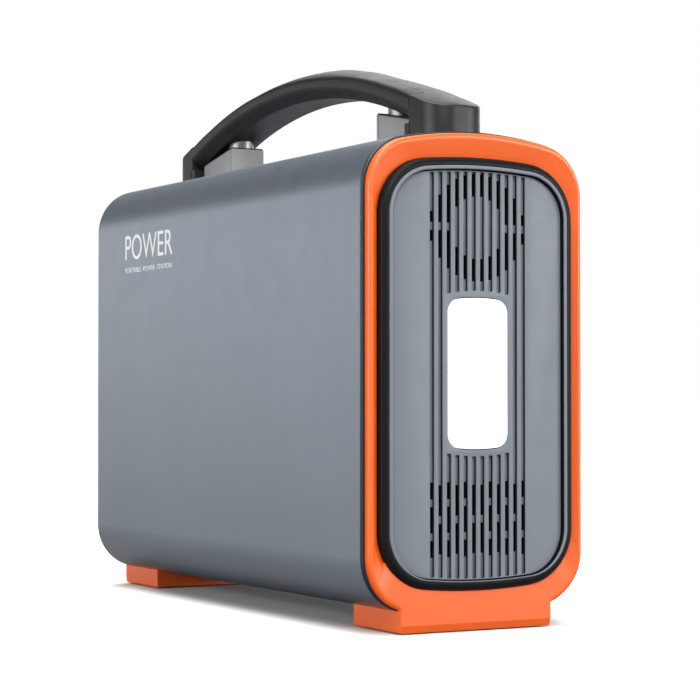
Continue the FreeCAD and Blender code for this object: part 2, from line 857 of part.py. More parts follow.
def bow_solid(piece, deep, degrees):
    profile = bow_section(piece, deep)
    axis_z = float(size.handle_top - size.handle_bow)
    line = profile.addGeometry(Part.LineSegment(Vector(-20, axis_z, 0), Vector(20, axis_z, 0)), True)
    profile.addConstraint(Sketcher.Constraint("Horizontal", line))
    made = piece.body.newObject("PartDesign::Revolution", f"{piece.body.Name}_bow")
    made.Profile = profile
    made.ReferenceAxis = (profile, ["Axis0"])
    made.Angle = degrees
    made.Midplane = True
    doc.recompute()
    return made


def tongue_tool(extra):
    """Strip of the bow's top between the seam and the tongue's tip, on the rear side."""
    start = math.degrees(math.asin(float(size.tongue_start) / float(size.handle_bow)))
    end = math.degrees(math.asin((float(size.handle_seam) + 2) / float(size.handle_bow)))
    top = float(size.handle_top)
    side = float(size.tongue_half_width) + extra
    low = top - float(size.tongue_thickness) - extra
    points = [Vector(x, 0, z) for x, z in ((-side, low), (side, low), (side, top + 3), (-side, top + 3))]
    face = Part.Face(Part.makePolygon(points + points[:1]))
    centre = Vector(0, 0, float(size.handle_top - size.handle_bow))
    face.rotate(centre, Vector(1, 0, 0), -start + math.degrees(extra / float(size.handle_bow)))
    solid = face.revolve(centre, Vector(1, 0, 0), -(end - start))
    return solid


def handle():
    """Bowed grip between two end caps, carried by brackets and round posts."""
    grip = Piece("Grip")
    bow_solid(grip, float(size.handle_thickness), grip_turn)
    seam = size.handle_seam - seam_gap
    for low, high in ((seam, seam + CLEAR), (-seam - CLEAR, -seam)):
        end = grip.sketch("YZ")
        rectangle(end, low, below_handle, high, above_handle)
        grip.cut_all(end)
    sockets = grip.sketch("XY", size.post_top + 0.5)
    for side in (1, -1):
        circle(sockets, size.post_radius + screw_gap, 0, size.post_place * side)
    grip.pocket(sockets, CLEAR)
    doc.recompute()
    recess = doc.addObject("Part::Feature", "TongueRecess")
    one = tongue_tool(tongue_gap)
    other = one.copy()
    other.rotate(Vector(), Vector(0, 0, 1), 180)
    recess.Shape = Part.makeCompound([one, other])
    keep(cut(grip.body, recess), "handle_grip")

    for end, placement, side in ENDS:
        cap = Piece(f"{end}_Cap")
        bow_solid(cap, cap_depth, cap_turn)
        keep_in = cap.sketch("XY", size.bracket_outer_top)
        half_width = float(size.handle_half_width)
        corner = float(size.cap_corner)
        tip, skirt = float(size.cap_end), float(size.cap_skirt)
        rectangle(keep_in, -CLEAR, -THROUGH, CLEAR, THROUGH)
        lines = [((-half_width, tip - corner), (-half_width, skirt)),
                 ((-half_width, skirt), (half_width, skirt)),
                 ((half_width, skirt), (half_width, tip - corner)),
                 ((half_width - corner, tip), (corner - half_width, tip))]
        keep_in.addGeometry([Part.LineSegment(Vector(*a, 0), Vector(*b, 0)) for a, b in lines], False)
        for x, start in ((half_width - corner, 0.0), (corner - half_width, math.pi / 2)):
            ring = Part.Circle(Vector(x, tip - corner, 0), Vector(0, 0, 1), corner)
            keep_in.addGeometry(Part.ArcOfCircle(ring, start, start + math.pi / 2), False)
        cap.cut_all(keep_in)
        over_tube = cap.sketch("XZ", CLEAR)
        crowned(over_tube, "sleeve")
        cap.pocket(over_tube, THROUGH)
        notch = cap.sketch("YZ")
        rectangle(notch, 0, size.cap_skirt_top, size.handle_seam, above_handle)
        cap.cut_all(notch)
        well = cap.sketch("XY", well_top)
        rectangle(well, -well_half_width, well_start, well_half_width, well_end)
        cap.pocket(well, cap_depth)
        doc.recompute()
        tongue = doc.addObject("Part::Feature", f"{end}_Tongue")
        envelope = Piece(f"{end}_Envelope")
        bow_solid(envelope, cap_depth, cap_turn)
        doc.recompute()
        tongue.Shape = tongue_tool(0).common(envelope.body.Shape)
        whole = fuse(cap.body, tongue)
        whole.Placement = placement
        keep(whole, f"{end}_handle_cap")

        bracket = Piece(f"{end}_Bracket")
        side_view = bracket.sketch("YZ", -size.bracket_half_width)
        polygon(side_view, [(size.bracket_inner, below_handle), (size.bracket_outer, below_handle),
                            (size.bracket_outer, size.bracket_outer_top),
                            (size.bracket_inner, size.bracket_inner_top)])
        bracket.pad(side_view, size.bracket_half_width * 2)
        over_tube = bracket.sketch("XZ", CLEAR)
        crowned(over_tube, "sleeve")
        bracket.pocket(over_tube, THROUGH)
        seat = bracket.sketch("XY", size.post_base)
        circle(seat, size.post_radius, 0, size.post_place)
        bracket.pocket(seat, cap_depth, Reversed=True)
        threads = bracket.sketch("XY", thread_start)
        for along in handle_screw_places:
            circle(threads, handle_screw_radius + screw_gap, 0, along)
        bracket.pocket(threads, thread_depth, Reversed=True)
        bracket.body.Placement = placement
        keep(bracket.body, f"{end}_handle_bracket")

        post = rod("z", size.post_radius, size.post_top - size.post_base,
                   0, size.post_place * side, size.post_base)
        keep(post, f"{end}_handle_post")

    screws = []
    head_radius, head_height = handle_screw_head
    for side in (1, -1):
        for along in handle_screw_places:
            under = size.middle_height + size.sleeve_half_height - size.sleeve_wall
            bottom = under - head_height - head_drop
            shank = rod("z", handle_screw_radius, handle_screw_length, 0, side * along, bottom)
            head = rod("z", head_radius, head_height, 0, side * along, bottom)
            screws.append(fuse(shank, head))
    keep(group(*screws), "handle_screws")


def foot_fittings():
    """Rubber pads set into the feet, and the screws that hold each foot."""
    pads, screws = [], []
    wide = size.pad_outer - size.pad_inner - 2 * pad_gap
    long = size.pad_end - size.pad_start - 2 * pad_gap
    for side in (1, -1):
        y = size.pad_start + pad_gap if side > 0 else -size.pad_end + pad_gap
        for across in (1, -1):
            x = size.pad_inner + pad_gap if across > 0 else -size.pad_outer + pad_gap
            pads.append(soften(box(x, y, 0, wide, long, size.pad_depth), 1.5, axis="z"))
        for across in foot_screw_places:
            along = (size.sleeve_half_length - foot_screw_from_end) * side
            shank = rod("z", foot_screw_radius, 10.0, across, along, 1.5)
            head = rod("z", 2.8, 2.0, across, along, 1.1)
            screws.append(fuse(shank, head))
    keep(group(*pads), "foot_pads")
    keep(group(*screws), "foot_screws")


# ---------------------------------------------------------------- front panel and its fittings

# Centres on the front panel as (x, z), for someone who faces it.
DISPLAY = (0.0, 141.0)
BUTTONS = (("dc_button", -20.0), ("ac_button", 0.0), ("lamp_button", 20.0))
BUTTON_HEIGHT = 114.0
USB_A = ((-19.0, 97.0), (0.0, 97.0))
USB_C = (19.0, 97.0)
CAR_SOCKET = (-14.5, 74.5)
DC_OUTPUTS = ((17.0, 83.0), (17.0, 66.0))
DC_INPUT = (22.5, 42.0)
AC_OUTLET = (-8.5, 42.0)
FACE = -123.7

display_size = (52.0, 26.0)
button_size = (14.0, 9.0)
button_gap = 0.25
outlet_size = (38.0, 32.0)
car_bore_radius = 10.48
car_body_radius = 13.0


def front_panel():
    """Panel with openings for the display, buttons and sockets."""
    piece = Piece("FrontPanel")
    panel_blank(piece)
    cuts = piece.sketch("XZ", size.panel_face)

    def window(x, z, wide, tall):
        rectangle(cuts, -x - wide / 2, z - tall / 2, -x + wide / 2, z + tall / 2)

    window(*DISPLAY, *display_size)
    for _, x in BUTTONS:
        window(x, BUTTON_HEIGHT, button_size[0] + 2 * button_gap, button_size[1] + 2 * button_gap)
    for place_of in USB_A:
        window(*place_of, 13.3, 5.9)
    window(*USB_C, 9.2, 3.5)
    window(*AC_OUTLET, outlet_size[0] + 0.2, outlet_size[1] + 0.2)
    circle(cuts, car_body_radius + 0.1, -CAR_SOCKET[0], CAR_SOCKET[1])
    for x, z in DC_OUTPUTS:
        circle(cuts, 4.5, -x, z)
    circle(cuts, 6.1, -DC_INPUT[0], DC_INPUT[1])
    piece.pocket(cuts, 20.0)
    piece.body.Placement = FRONT
    keep(piece.body, "front_panel")


def centred(x, z, wide, tall, y_low, y_high):
    """Box centred on a point of the front panel, between two depths."""
    return box(x - wide / 2, y_low, z - tall / 2, wide, y_high - y_low, tall)


def display():
    x, z = DISPLAY
    lens = centred(x, z, display_size[0] - 0.2, display_size[1] - 0.2, FACE - 0.1, FACE + 2.2)
    keep(soften(lens, 0.4, axis="y"), "display_lens")
    keep(centred(x, z, 56.0, 29.0, -120.2, -115.0), "display_module")


def buttons():
    """Three push buttons that travel 1.2 mm, each above its switch on the board behind."""
    switches = []
    for name, x in BUTTONS:
        wide, tall = button_size
        key = soften(centred(x, BUTTON_HEIGHT, wide, tall, FACE - 1.5, -119.5), 1.0, axis="y")
        flange = centred(x, BUTTON_HEIGHT, wide + 2.4, tall + 2.4, -120.2, -119.0)
        stem = centred(x, BUTTON_HEIGHT, 4.0, 4.0, -119.5, -114.4)
        keep(fuse(key, flange, stem), name)
        base = centred(x, BUTTON_HEIGHT, 6.0, 6.0, -112.1, -108.6)
        plunger = rod("y", 1.7, 1.2, x, -113.1, BUTTON_HEIGHT)
        switches.append(fuse(base, plunger))
    keep(group(*switches), "button_switches")
    keep(box(-31.0, -108.5, 90.0, 62.0, 1.6, 67.0), "io_board")


def sockets():
    """Low-voltage sockets: USB, car socket and barrel jacks."""
    shells = []
    for x, z in USB_A:
        shell = cut(centred(x, z, 13.1, 5.7, FACE + 0.4, -109.0), centred(x, z, 12.3, 4.9, FACE, -110.0))
        tongue = centred(x, z + 1.1, 11.1, 1.8, FACE + 3.0, -109.5)
        shells.append(fuse(shell, tongue))
    keep(group(*shells), "usb_a_sockets")

    x, z = USB_C
    outer = soften(centred(x, z, 9.0, 3.3, FACE + 0.3, -112.0), 1.6, axis="y")
    inner = soften(centred(x, z, 8.3, 2.6, FACE, -113.0), 1.25, axis="y")
    keep(fuse(cut(outer, inner), centred(x, z, 6.7, 0.7, FACE + 2.0, -112.5)), "usb_c_socket")

    x, z = CAR_SOCKET
    flange = rod("y", 14.5, 1.6, x, FACE - 1.6, z)
    tube = rod("y", car_body_radius, 38.1, x, FACE, z)
    bore = rod("y", car_bore_radius, 37.3, x, FACE - 1.6, z)
    contact_hole = rod("y", 2.6, 20.0, x, -100.0, z)
    keep(cut(fuse(flange, tube), bore, contact_hole), "car_socket")
    keep(rod("y", 2.5, 6.0, x, FACE - 1.6 + 37.3, z), "car_socket_contact")

    jacks = []
    for x, z in DC_OUTPUTS:
        jacks.append(barrel_jack(x, z, flange=6.0, body=4.4, bore=2.85, pin=1.0, depth=10.0, back=-110.0))
    keep(group(*jacks), "dc_output_jacks")
    inlet = barrel_jack(*DC_INPUT, flange=8.0, body=6.0, bore=4.0, pin=0.8, depth=12.0, back=-106.0)
    keep(inlet, "dc_input_jack")


def barrel_jack(x, z, *, flange, body, bore, pin, depth, back):
    """Round jack with a centre pin."""
    ring = rod("y", flange, 1.0, x, FACE - 1.0, z)
    barrel = rod("y", body, back - FACE + 0.5, x, FACE - 0.5, z)
    hole = rod("y", bore, depth, x, FACE - 1.0, z)
    centre = rod("y", pin, depth + 0.5, x, FACE + 0.6, z)
    return fuse(cut(fuse(ring, barrel), hole), centre)


def ac_outlet():
    x, z = AC_OUTLET
    plate = soften(centred(x, z, *outlet_size, FACE - 1.2, -121.0), 2.5, axis="y")
    body = centred(x, z, 34.0, 28.0, -121.5, -98.0)
    slots = [centred(x + side * 6.35, z + 3.5, 2.2, 7.8 - side * 0.8, FACE - 2.0, -104.0) for side in (-1, 1)]
    earth = rod("y", 2.5, 22.0, x, FACE - 2.0, z - 8.4)
    keep(cut(fuse(plate, body), *slots, earth), "ac_outlet")
    tabs = [centred(x + side * 6.35, z + 3.5, 0.8, 6.0, -98.0, -91.0) for side in (-1, 1)]
    tabs.append(centred(x, z - 8.4, 6.0, 0.8, -98.0, -91.0))
    keep(group(*tabs), "ac_contacts")


# ---------------------------------------------------------------- battery and inverter

def cell_places():
    for column in range(4):
        for row in range(3):
            y = size.cell_pitch_along * (column - 1.5)
            yield column, row, y, size.cell_first_height + size.cell_pitch_up * row


def battery():
    """Twelve cells lying across the tube, four in series and three in parallel."""
    cells = [rod("x", size.cell_radius, size.cell_length, -half(size.cell_length), y, z)
             for _, _, y, z in cell_places()]
    keep(group(*cells), "battery_cells")
    for name, x_inner in (("left_cell_holder", 28.0), ("right_cell_holder", -35.0)):
        holder = Piece(name)
        plate = holder.sketch("YZ", x_inner)
        rectangle(plate, -69.0, 13.0, 69.0, 116.5)
        holder.pad(plate, 7.0)
        holes = holder.sketch("YZ", 60.0)
        for _, _, y, z in cell_places():
            circle(holes, size.cell_radius + 0.15, y, z)
        holder.pocket(holes, 120.0)
        keep(holder.body, name)
    bars = []
    low = float(size.cell_first_height) - 10
    tall = float(size.cell_pitch_up) * 2 + 20
    pitch = float(size.cell_pitch_along)
    for side, spans in ((35.3, ((-1.5, -0.5), (0.5, 1.5))), (-35.6, ((-1.5, -1.5), (-0.5, 0.5), (1.5, 1.5)))):
        for first, last in spans:
            y = first * pitch - 9
            bars.append(box(side, y, low, 0.3, (last - first) * pitch + 18, tall))
    keep(group(*bars), "bus_bars")
    keep(box(-30.0, -72.0, 20.0, 60.0, 1.6, 88.0), "battery_board")
    floor = box(-32.0, -72.0, 11.0, 64.0, 144.0, 1.9)
    keep(floor, "battery_tray")


def inverter():
    """Board with transformer, coil, capacitors and finned heat sinks above the battery."""
    tray = Piece("InverterTray")
    profile = tray.sketch("XZ", 100.0)
    polygon(profile, [(-41.0, 117.0), (41.0, 117.0), (41.0, 122.0), (39.4, 122.0), (39.4, 118.8),
                      (-39.4, 118.8), (-39.4, 122.0), (-41.0, 122.0)])
    tray.pad(profile, 180.0)
    keep(tray.body, "inverter_tray")
    posts = [rod("z", 2.5, 5.2, x, y, 118.8) for x in (-33.0, 33.0) for y in (-72.0, 92.0)]
    keep(group(*posts), "board_standoffs")
    keep(box(-37.0, -78.0, 124.0, 74.0, 176.0, 1.6), "inverter_board")

    core = cut(box(-21.0, 12.0, 126.0, 42.0, 28.0, 30.0),
               box(-15.0, 0, 132.0, 9.0, 60.0, 18.0), box(6.0, 0, 132.0, 9.0, 60.0, 18.0))
    keep(core, "transformer_core")
    coil = cut(soften(box(-14.6, 5.0, 133.0, 29.2, 42.0, 16.0), 4.0, axis="z"),
               box(-6.2, 11.8, 100.0, 12.4, 28.4, 80.0))
    keep(coil, "transformer_winding")
    cans = [rod("z", 8.0, 30.0, x, y, 125.8) for x in (-11.0, 11.0) for y in (62.0, 82.0)]
    keep(group(*cans), "inverter_capacitors")
    ring = doc.addObject("Part::Torus", "Coil")
    ring.Radius1 = 10.0
    ring.Radius2 = 4.0
    keep(place(ring, 0, -32.0, 130.0), "inverter_coil")
    for name, side in (("left_heat_sink", 1), ("right_heat_sink", -1)):
        sink = Piece(name)
        comb = sink.sketch("XZ", 2.0)
        outline = [(25.0, 126.0), (28.0, 126.0)]
        for fin in range(6):
            low = 127.0 + fin * 5.0
            outline += [(28.0, low), (37.0, low), (37.0, low + 1.6), (28.0, low + 1.6)]
        outline += [(28.0, 156.0), (25.0, 156.0)]
        polygon(comb, [(side * x, z) for x, z in outline])
        sink.pad(comb, 64.0)
        keep(sink.body, name)


# ---------------------------------------------------------------- build and export

def check():
    """Stop if any object failed or any sub-part is not a sound shape."""
    doc.recompute()
    for thing in doc.Objects:
        if {"Invalid", "Error"} & set(thing.State):
            raise ValueError(f"{thing.Name} ({thing.Label}): {thing.State}")
    labels = [thing.Label for thing in nodes]
    if len(set(labels)) != len(labels):
        raise ValueError("two sub-parts share a name")
    for thing in nodes:
        if thing.Shape.isNull() or not thing.Shape.isValid() or not thing.Shape.Solids:
            raise ValueError(f"{thing.Label} is not a sound solid")


def build():
    housing_sleeve()
    for end, placement, _ in ENDS:
        bezel(end, placement)
        trim_ring(end, placement)
        panel_frame(end, placement)
    rear_grille()
    lamp()
    fan()
    handle()
    foot_fittings()
    front_panel()
    display()
    buttons()
    sockets()
    ac_outlet()
    battery()
    inverter()


build()
check()
os.makedirs("parts", exist_ok=True)
for thing in nodes:
    thing.Shape.exportStep(f"parts/{thing.Label}.step")
    count = len(thing.Shape.Solids)
    print(f"{thing.Label:24s} {count:3d} solid(s) {thing.Shape.Volume / 1000:9.2f} cm3")
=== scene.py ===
import json
from math import asin, cos, degrees, hypot, pi, radians, sin, sqrt, tan

import bmesh
import bpy
from mathutils import Matrix, Vector

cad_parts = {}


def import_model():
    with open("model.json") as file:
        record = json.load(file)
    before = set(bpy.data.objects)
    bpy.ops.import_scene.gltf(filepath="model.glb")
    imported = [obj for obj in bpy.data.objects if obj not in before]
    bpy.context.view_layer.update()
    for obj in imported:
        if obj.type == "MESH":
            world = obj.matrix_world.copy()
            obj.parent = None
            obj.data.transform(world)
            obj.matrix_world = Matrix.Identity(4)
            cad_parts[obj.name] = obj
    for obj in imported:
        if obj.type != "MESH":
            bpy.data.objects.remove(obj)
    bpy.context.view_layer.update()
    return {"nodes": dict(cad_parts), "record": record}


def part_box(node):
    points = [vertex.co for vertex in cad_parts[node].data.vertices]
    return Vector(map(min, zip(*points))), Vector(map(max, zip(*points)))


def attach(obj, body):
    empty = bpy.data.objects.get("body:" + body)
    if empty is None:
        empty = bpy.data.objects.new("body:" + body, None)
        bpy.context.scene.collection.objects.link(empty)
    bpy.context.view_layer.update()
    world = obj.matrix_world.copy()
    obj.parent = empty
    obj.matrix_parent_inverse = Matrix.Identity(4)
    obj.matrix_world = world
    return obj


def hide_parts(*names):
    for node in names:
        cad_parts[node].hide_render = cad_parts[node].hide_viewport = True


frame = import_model()

# A camping power station.  The rear end (fan grille and lamp) is +Y, the front end (display and
# sockets) is -Y.  Everything is in metres; MM turns millimetres into metres.
MM = 0.001
HOUSING = "housing"
HALF_TURN = Matrix.Rotation(pi, 4, "Z")
ENDS = (("rear", Matrix.Identity(4)), ("front", HALF_TURN))

# ---------------- materials


def put(node, **sockets):
    """Constants on a node's sockets."""
    for socket, value in sockets.items():
        node.inputs[socket.replace("_", " ")].default_value = value
    return node


class Surface:
    """A node material on one Principled shader; its colour is (red, green, blue) or one grey."""

    def __init__(self, name, colour, roughness, metal=0.0, **sockets):
        self.name = name
        self.material = bpy.data.materials.new(name)
        self.material.use_nodes = True
        self.nodes = self.material.node_tree.nodes
        self.links = self.material.node_tree.links
        self.shader = self.nodes["Principled BSDF"]
        self.colour = (colour,) * 3 if isinstance(colour, float) else colour
        self.roughness = roughness
        put(self.shader, Base_Color=(*self.colour, 1), Roughness=roughness, Metallic=metal, **sockets)
        self.place = self.nodes.new("ShaderNodeTexCoord").outputs["Object"]

    def node(self, kind, **sockets):
        return put(self.nodes.new(kind), **sockets)

    def noise(self, size, detail, stretch):
        mapping = self.node("ShaderNodeMapping", Scale=stretch)
        self.links.new(self.place, mapping.inputs["Vector"])
        made = self.node("ShaderNodeTexNoise", Scale=1 / size, Detail=detail)
        self.links.new(mapping.outputs["Vector"], made.inputs["Vector"])
        return made.outputs["Fac"]

    def spread(self, value, low, high):
        """Value from 0.3 to 0.7, where most of a noise lies, becomes low to high."""
        made = self.node("ShaderNodeMapRange", From_Min=0.3, From_Max=0.7, To_Min=low, To_Max=high)
        self.links.new(value, made.inputs["Value"])
        return made.outputs["Result"]

    def mottle(self, size, share, stretch=(1, 1, 1)):
        """Colour that wanders a little lighter and darker."""
        ramp = self.node("ShaderNodeValToRGB")
        for stop, factor in zip(ramp.color_ramp.elements, (1 - share, 1 + share)):
            stop.color = (*(min(1.0, channel * factor) for channel in self.colour), 1)
        self.links.new(self.spread(self.noise(size, 4.0, stretch), 0.0, 1.0), ramp.inputs["Fac"])
        self.links.new(ramp.outputs["Color"], self.shader.inputs["Base Color"])
        return self

    def rub(self, size, share, stretch=(1, 1, 1)):
        """Roughness that wanders by a share of itself."""
        low, high = self.roughness * (1 - share), self.roughness * (1 + share)
        varied = self.spread(self.noise(size, 3.0, stretch), low, high)
        self.links.new(varied, self.shader.inputs["Roughness"])
        return self

    def grain(self, size, depth, stretch=(1, 1, 1)):
        """Fine relief."""
        bump = self.node("ShaderNodeBump", Strength=1.0, Distance=depth)
        self.links.new(self.noise(size, 2.0, stretch), bump.inputs["Height"])
        self.links.new(bump.outputs["Normal"], self.shader.inputs["Normal"])
        return self

    def glow(self, colour, strength):
        put(self.shader, Emission_Color=(*colour, 1), Emission_Strength=strength)
        return self


def powder_coat():
    made = Surface("painted_aluminium", (0.300, 0.340, 0.392), 0.36, 0.85)
    return made.mottle(30 * MM, 0.02).rub(9 * MM, 0.06).grain(0.5 * MM, 0.012 * MM)


def moulded(name, colour, roughness, texture=0.45, depth=0.008, **sockets):
    made = Surface(name, colour, roughness, **sockets)
    return made.mottle(14 * MM, 0.03).rub(5 * MM, 0.08).grain(texture * MM, depth * MM)


def brushed(name, colour, roughness, along=(1, 0.02, 1)):
    made = Surface(name, colour, roughness, 1.0)
    return made.mottle(6 * MM, 0.04).rub(0.5 * MM, 0.25, along).grain(0.25 * MM, 0.01 * MM, along)


def circuit_board():
    made = Surface("circuit_board", (0.03, 0.16, 0.07), 0.38, Coat_Weight=0.4)
    return made.mottle(3 * MM, 0.25, (1, 1, 0.2)).rub(2 * MM, 0.2).grain(1.2 * MM, 0.03 * MM, (1, 0.15, 1))


def build_materials():
    """One material for each slot of the record, and inks for parts of a piece's look."""
    made = [
        powder_coat(),
        moulded("orange_plastic", (0.95, 0.135, 0.010), 0.40, Specular_IOR_Level=0.5,
                Coat_Weight=0.4, Coat_Roughness=0.32),
        moulded("black_trim", (0.006, 0.0065, 0.008), 0.45, Specular_IOR_Level=0.15),
        moulded("grey_plastic", (0.174, 0.195, 0.225), 0.50),
        moulded("opal_plastic", 0.95, 0.35).glow((1, 1, 1), 0.85),
        moulded("white_plastic", 0.85, 0.5),
        circuit_board(),
        moulded("led_phosphor", (0.95, 0.80, 0.30), 0.3, texture=0.2),
        moulded("black_plastic", (0.022, 0.022, 0.024), 0.45),
        brushed("steel", (0.56, 0.56, 0.57), 0.32),
        moulded("handle_plastic", 0.009, 0.42, texture=0.35, depth=0.012,
                Specular_IOR_Level=0.42),
        moulded("bracket_grey", 0.27, 0.45),
        brushed("polished_steel", 0.26, 0.42, (1, 1, 0.05)),
        moulded("rubber", 0.020, 0.78, texture=0.7, depth=0.05),
        moulded("display_glass", (0.006, 0.006, 0.008), 0.08, depth=0.001,
                Coat_Weight=0.6, Coat_Roughness=0.04),
        moulded("display_panel", (0.03, 0.05, 0.06), 0.3),
        moulded("key_plastic", (0.040, 0.041, 0.045), 0.40, texture=0.3),
        brushed("brass", (0.72, 0.55, 0.26), 0.28),
        moulded("cell_wrap", (0.03, 0.16, 0.42), 0.30, texture=2.0, depth=0.02, Coat_Weight=0.5),
        moulded("holder_plastic", 0.05, 0.55),
        brushed("nickel", (0.62, 0.60, 0.54), 0.3),
        moulded("ferrite", (0.045, 0.045, 0.05), 0.6, texture=0.8, depth=0.03),
        brushed("copper", (0.60, 0.24, 0.09), 0.35, (1, 1, 0.03)),
        moulded("capacitor_sleeve", (0.015, 0.015, 0.04), 0.25),
        brushed("aluminium", (0.75, 0.75, 0.76), 0.3),
        # Painted shade: a darker colour than the tube's own paint, for the dark line along the sleeve's cut
        # ends.
        brushed("cut_edge_shade", (0.060, 0.072, 0.085), 0.42),
        moulded("channel_shade", (0.008, 0.011, 0.016), 0.6, texture=0.2),
        moulded("white_ink", 0.80, 0.5, texture=0.2),
        moulded("blue_tongue", (0.02, 0.10, 0.45), 0.4, texture=0.3),
        moulded("cyan_segments", (0.25, 0.75, 0.85), 0.4, texture=0.2).glow((0.35, 0.9, 1.0), 2.2),
        moulded("green_segments", (0.15, 0.75, 0.25), 0.4, texture=0.2).glow((0.25, 1.0, 0.35), 1.8),
    ]
    return {surface.name: surface.material for surface in made}


MATERIALS = build_materials()
for entry in frame["record"]["subparts"]:
    node_mesh = frame["nodes"][entry["node"]].data
    node_mesh.materials.clear()
    node_mesh.materials.append(MATERIALS[entry["material_slot"]])

# ---------------- mesh helpers

SHARP = 32  # degrees between faces above which an edge stays sharp
CORNERS = [(side, end) for side in (-1, 1) for end in (-1, 1)]


def add_object(name, data):
    made = bpy.data.objects.new(name, data)
    bpy.context.scene.collection.objects.link(made)
    return made


def keep(bm, name, *, slot, ink=None, turn=None, sharp=SHARP, body=HOUSING, stands_for=()):
    """Turn a bmesh into a piece with smooth faces and sharp edges, and tie it to its body.

    slot names the material the piece takes, one of the record's slots; ink, where given, is the material it
    takes instead.
    """
    if turn is not None:
        bmesh.ops.transform(bm, matrix=turn, verts=bm.verts)
    bmesh.ops.remove_doubles(bm, verts=bm.verts, dist=1e-7)
    bmesh.ops.dissolve_degenerate(bm, edges=bm.edges, dist=1e-7)
    bmesh.ops.recalc_face_normals(bm, faces=bm.faces)
    mesh = bpy.data.meshes.new(name)
    bm.to_mesh(mesh)
    bm.free()
    for face in mesh.polygons:
        face.use_smooth = True
    mesh.set_sharp_from_angle(angle=radians(sharp))
    piece = add_object(name, mesh)
    mesh.materials.append(MATERIALS[ink or slot])
    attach(piece, body)
    if stands_for:
        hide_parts(*stands_for)
    return piece


def soften(piece, width):
    """Rounded edges as a modifier."""
    bevel = piece.modifiers.new("edges", "BEVEL")
    bevel.width = width
    bevel.segments = 3
    bevel.limit_method = "ANGLE"
    bevel.angle_limit = radians(SHARP)
    bevel.harden_normals = True


def add_loft(bm, loops, closed=False, caps=(False, False)):
    """Quads between loops of the same number of points."""
    rows = [[bm.verts.new(point) for point in loop] for loop in loops]
    pairs = list(zip(rows, rows[1:]))
    if closed:
        pairs.append((rows[-1], rows[0]))
    count = len(rows[0])
    for one, two in pairs:
        for i in range(count):
            j = (i + 1) % count
            bm.faces.new((one[i], one[j], two[j], two[i]))
    for row, wanted in ((rows[0], caps[0]), (rows[-1], caps[1])):
        if wanted:
            bm.faces.new(row)
    return rows


def add_fan(bm, row, point):
    """Close a loop of vertices on one point."""
    tip = bm.verts.new(point)
    for i, vert in enumerate(row):
        bm.faces.new((vert, row[(i + 1) % len(row)], tip))


def add_domed(bm, loops, middle, shares, rise):
    """Loft whose last loop closes in rings of those shares; its middle rises along Y."""
    rim = loops[-1]
    for share in shares:
        ring_rise = rise * (1 - share ** 2)
        loops.append([Vector((middle[0] + (p.x - middle[0]) * share, p.y + ring_rise,
                              middle[1] + (p.z - middle[1]) * share)) for p in rim])
    rows = add_loft(bm, loops, caps=(True, False))
    add_fan(bm, rows[-1], Vector((middle[0], rim[0].y + rise, middle[1])))


def quarter(centre, radius, start, end, steps=5):
    """Points on an arc, angles in degrees."""
    turns = [radians(start + (end - start) * i / steps) for i in range(steps + 1)]
    return [(centre[0] + radius * cos(a), centre[1] + radius * sin(a)) for a in turns]


def rounded(corners, steps=4):
    """Closed outline from (x, y, radius) corners, each rounded by a tangent arc."""
    points = []
    count = len(corners)
    for i, (x, y, radius) in enumerate(corners):
        here = Vector((x, y))
        before = (Vector(corners[i - 1][:2]) - here).normalized()
        after = (Vector(corners[(i + 1) % count][:2]) - here).normalized()
        if radius <= 0:
            points.append((x, y))
            continue
        opening = before.angle(after)
        reach = radius / tan(opening / 2)
        middle = here + (before + after).normalized() * (radius / sin(opening / 2))
        first = here + before * reach - middle
        sweep = first.angle_signed(here + after * reach - middle)
        for step in range(steps + 1):
            turned = first.copy()
            turned.rotate(Matrix.Rotation(-sweep * step / steps, 2))
            points.append(tuple(middle + turned))
    return points


def shifted(points, centre):
    return [(x + centre[0], y + centre[1]) for x, y in points]


def box_outline(wide, tall, radius, steps=4, centre=(0, 0)):
    wide, tall = wide / 2, tall / 2
    corners = [(wide, tall), (-wide, tall), (-wide, -tall), (wide, -tall)]
    return shifted(rounded([(x, y, radius) for x, y in corners], steps), centre)


def box_mm(wide, tall, radius, steps=4, centre=(0, 0)):
    """The same with its sizes in millimetres; the centre stays in metres."""
    return box_outline(wide * MM, tall * MM, radius * MM, steps, centre)


def round_outline(radius, steps=40, centre=(0, 0)):
    turns = [2 * pi * i / steps for i in range(steps)]
    return [(centre[0] + radius * cos(t), centre[1] + radius * sin(t)) for t in turns]


def at_depth(outline, y):
    """Outline of (x, z) points as vectors at one y."""
    return [Vector((x, y, z)) for x, z in outline]


def add_turned(bm, profile, centre, axis, steps=48):
    """Solid of revolution: profile of (radius, height) along an axis through centre."""
    direction = Vector(axis).normalized()
    side = direction.orthogonal().normalized()
    other = direction.cross(side)
    loops = []
    for step in range(steps):
        turn = 2 * pi * step / steps
        outward = side * cos(turn) + other * sin(turn)
        loops.append([Vector(centre) + direction * height + outward * radius for radius, height in profile])
    rows = [[bm.verts.new(point) for point in loop] for loop in loops]
    for i, row in enumerate(rows):
        after = rows[(i + 1) % steps]
        for k in range(len(profile) - 1):
            if profile[k][0] < 1e-9 and profile[k + 1][0] < 1e-9:
                continue
            bm.faces.new((row[k], row[k + 1], after[k + 1], after[k]))


def add_prism(bm, outline, y_low, y_high):
    """Outline of (x, z) points, extruded along Y."""
    add_loft(bm, [at_depth(outline, y_low), at_depth(outline, y_high)], caps=(True, True))


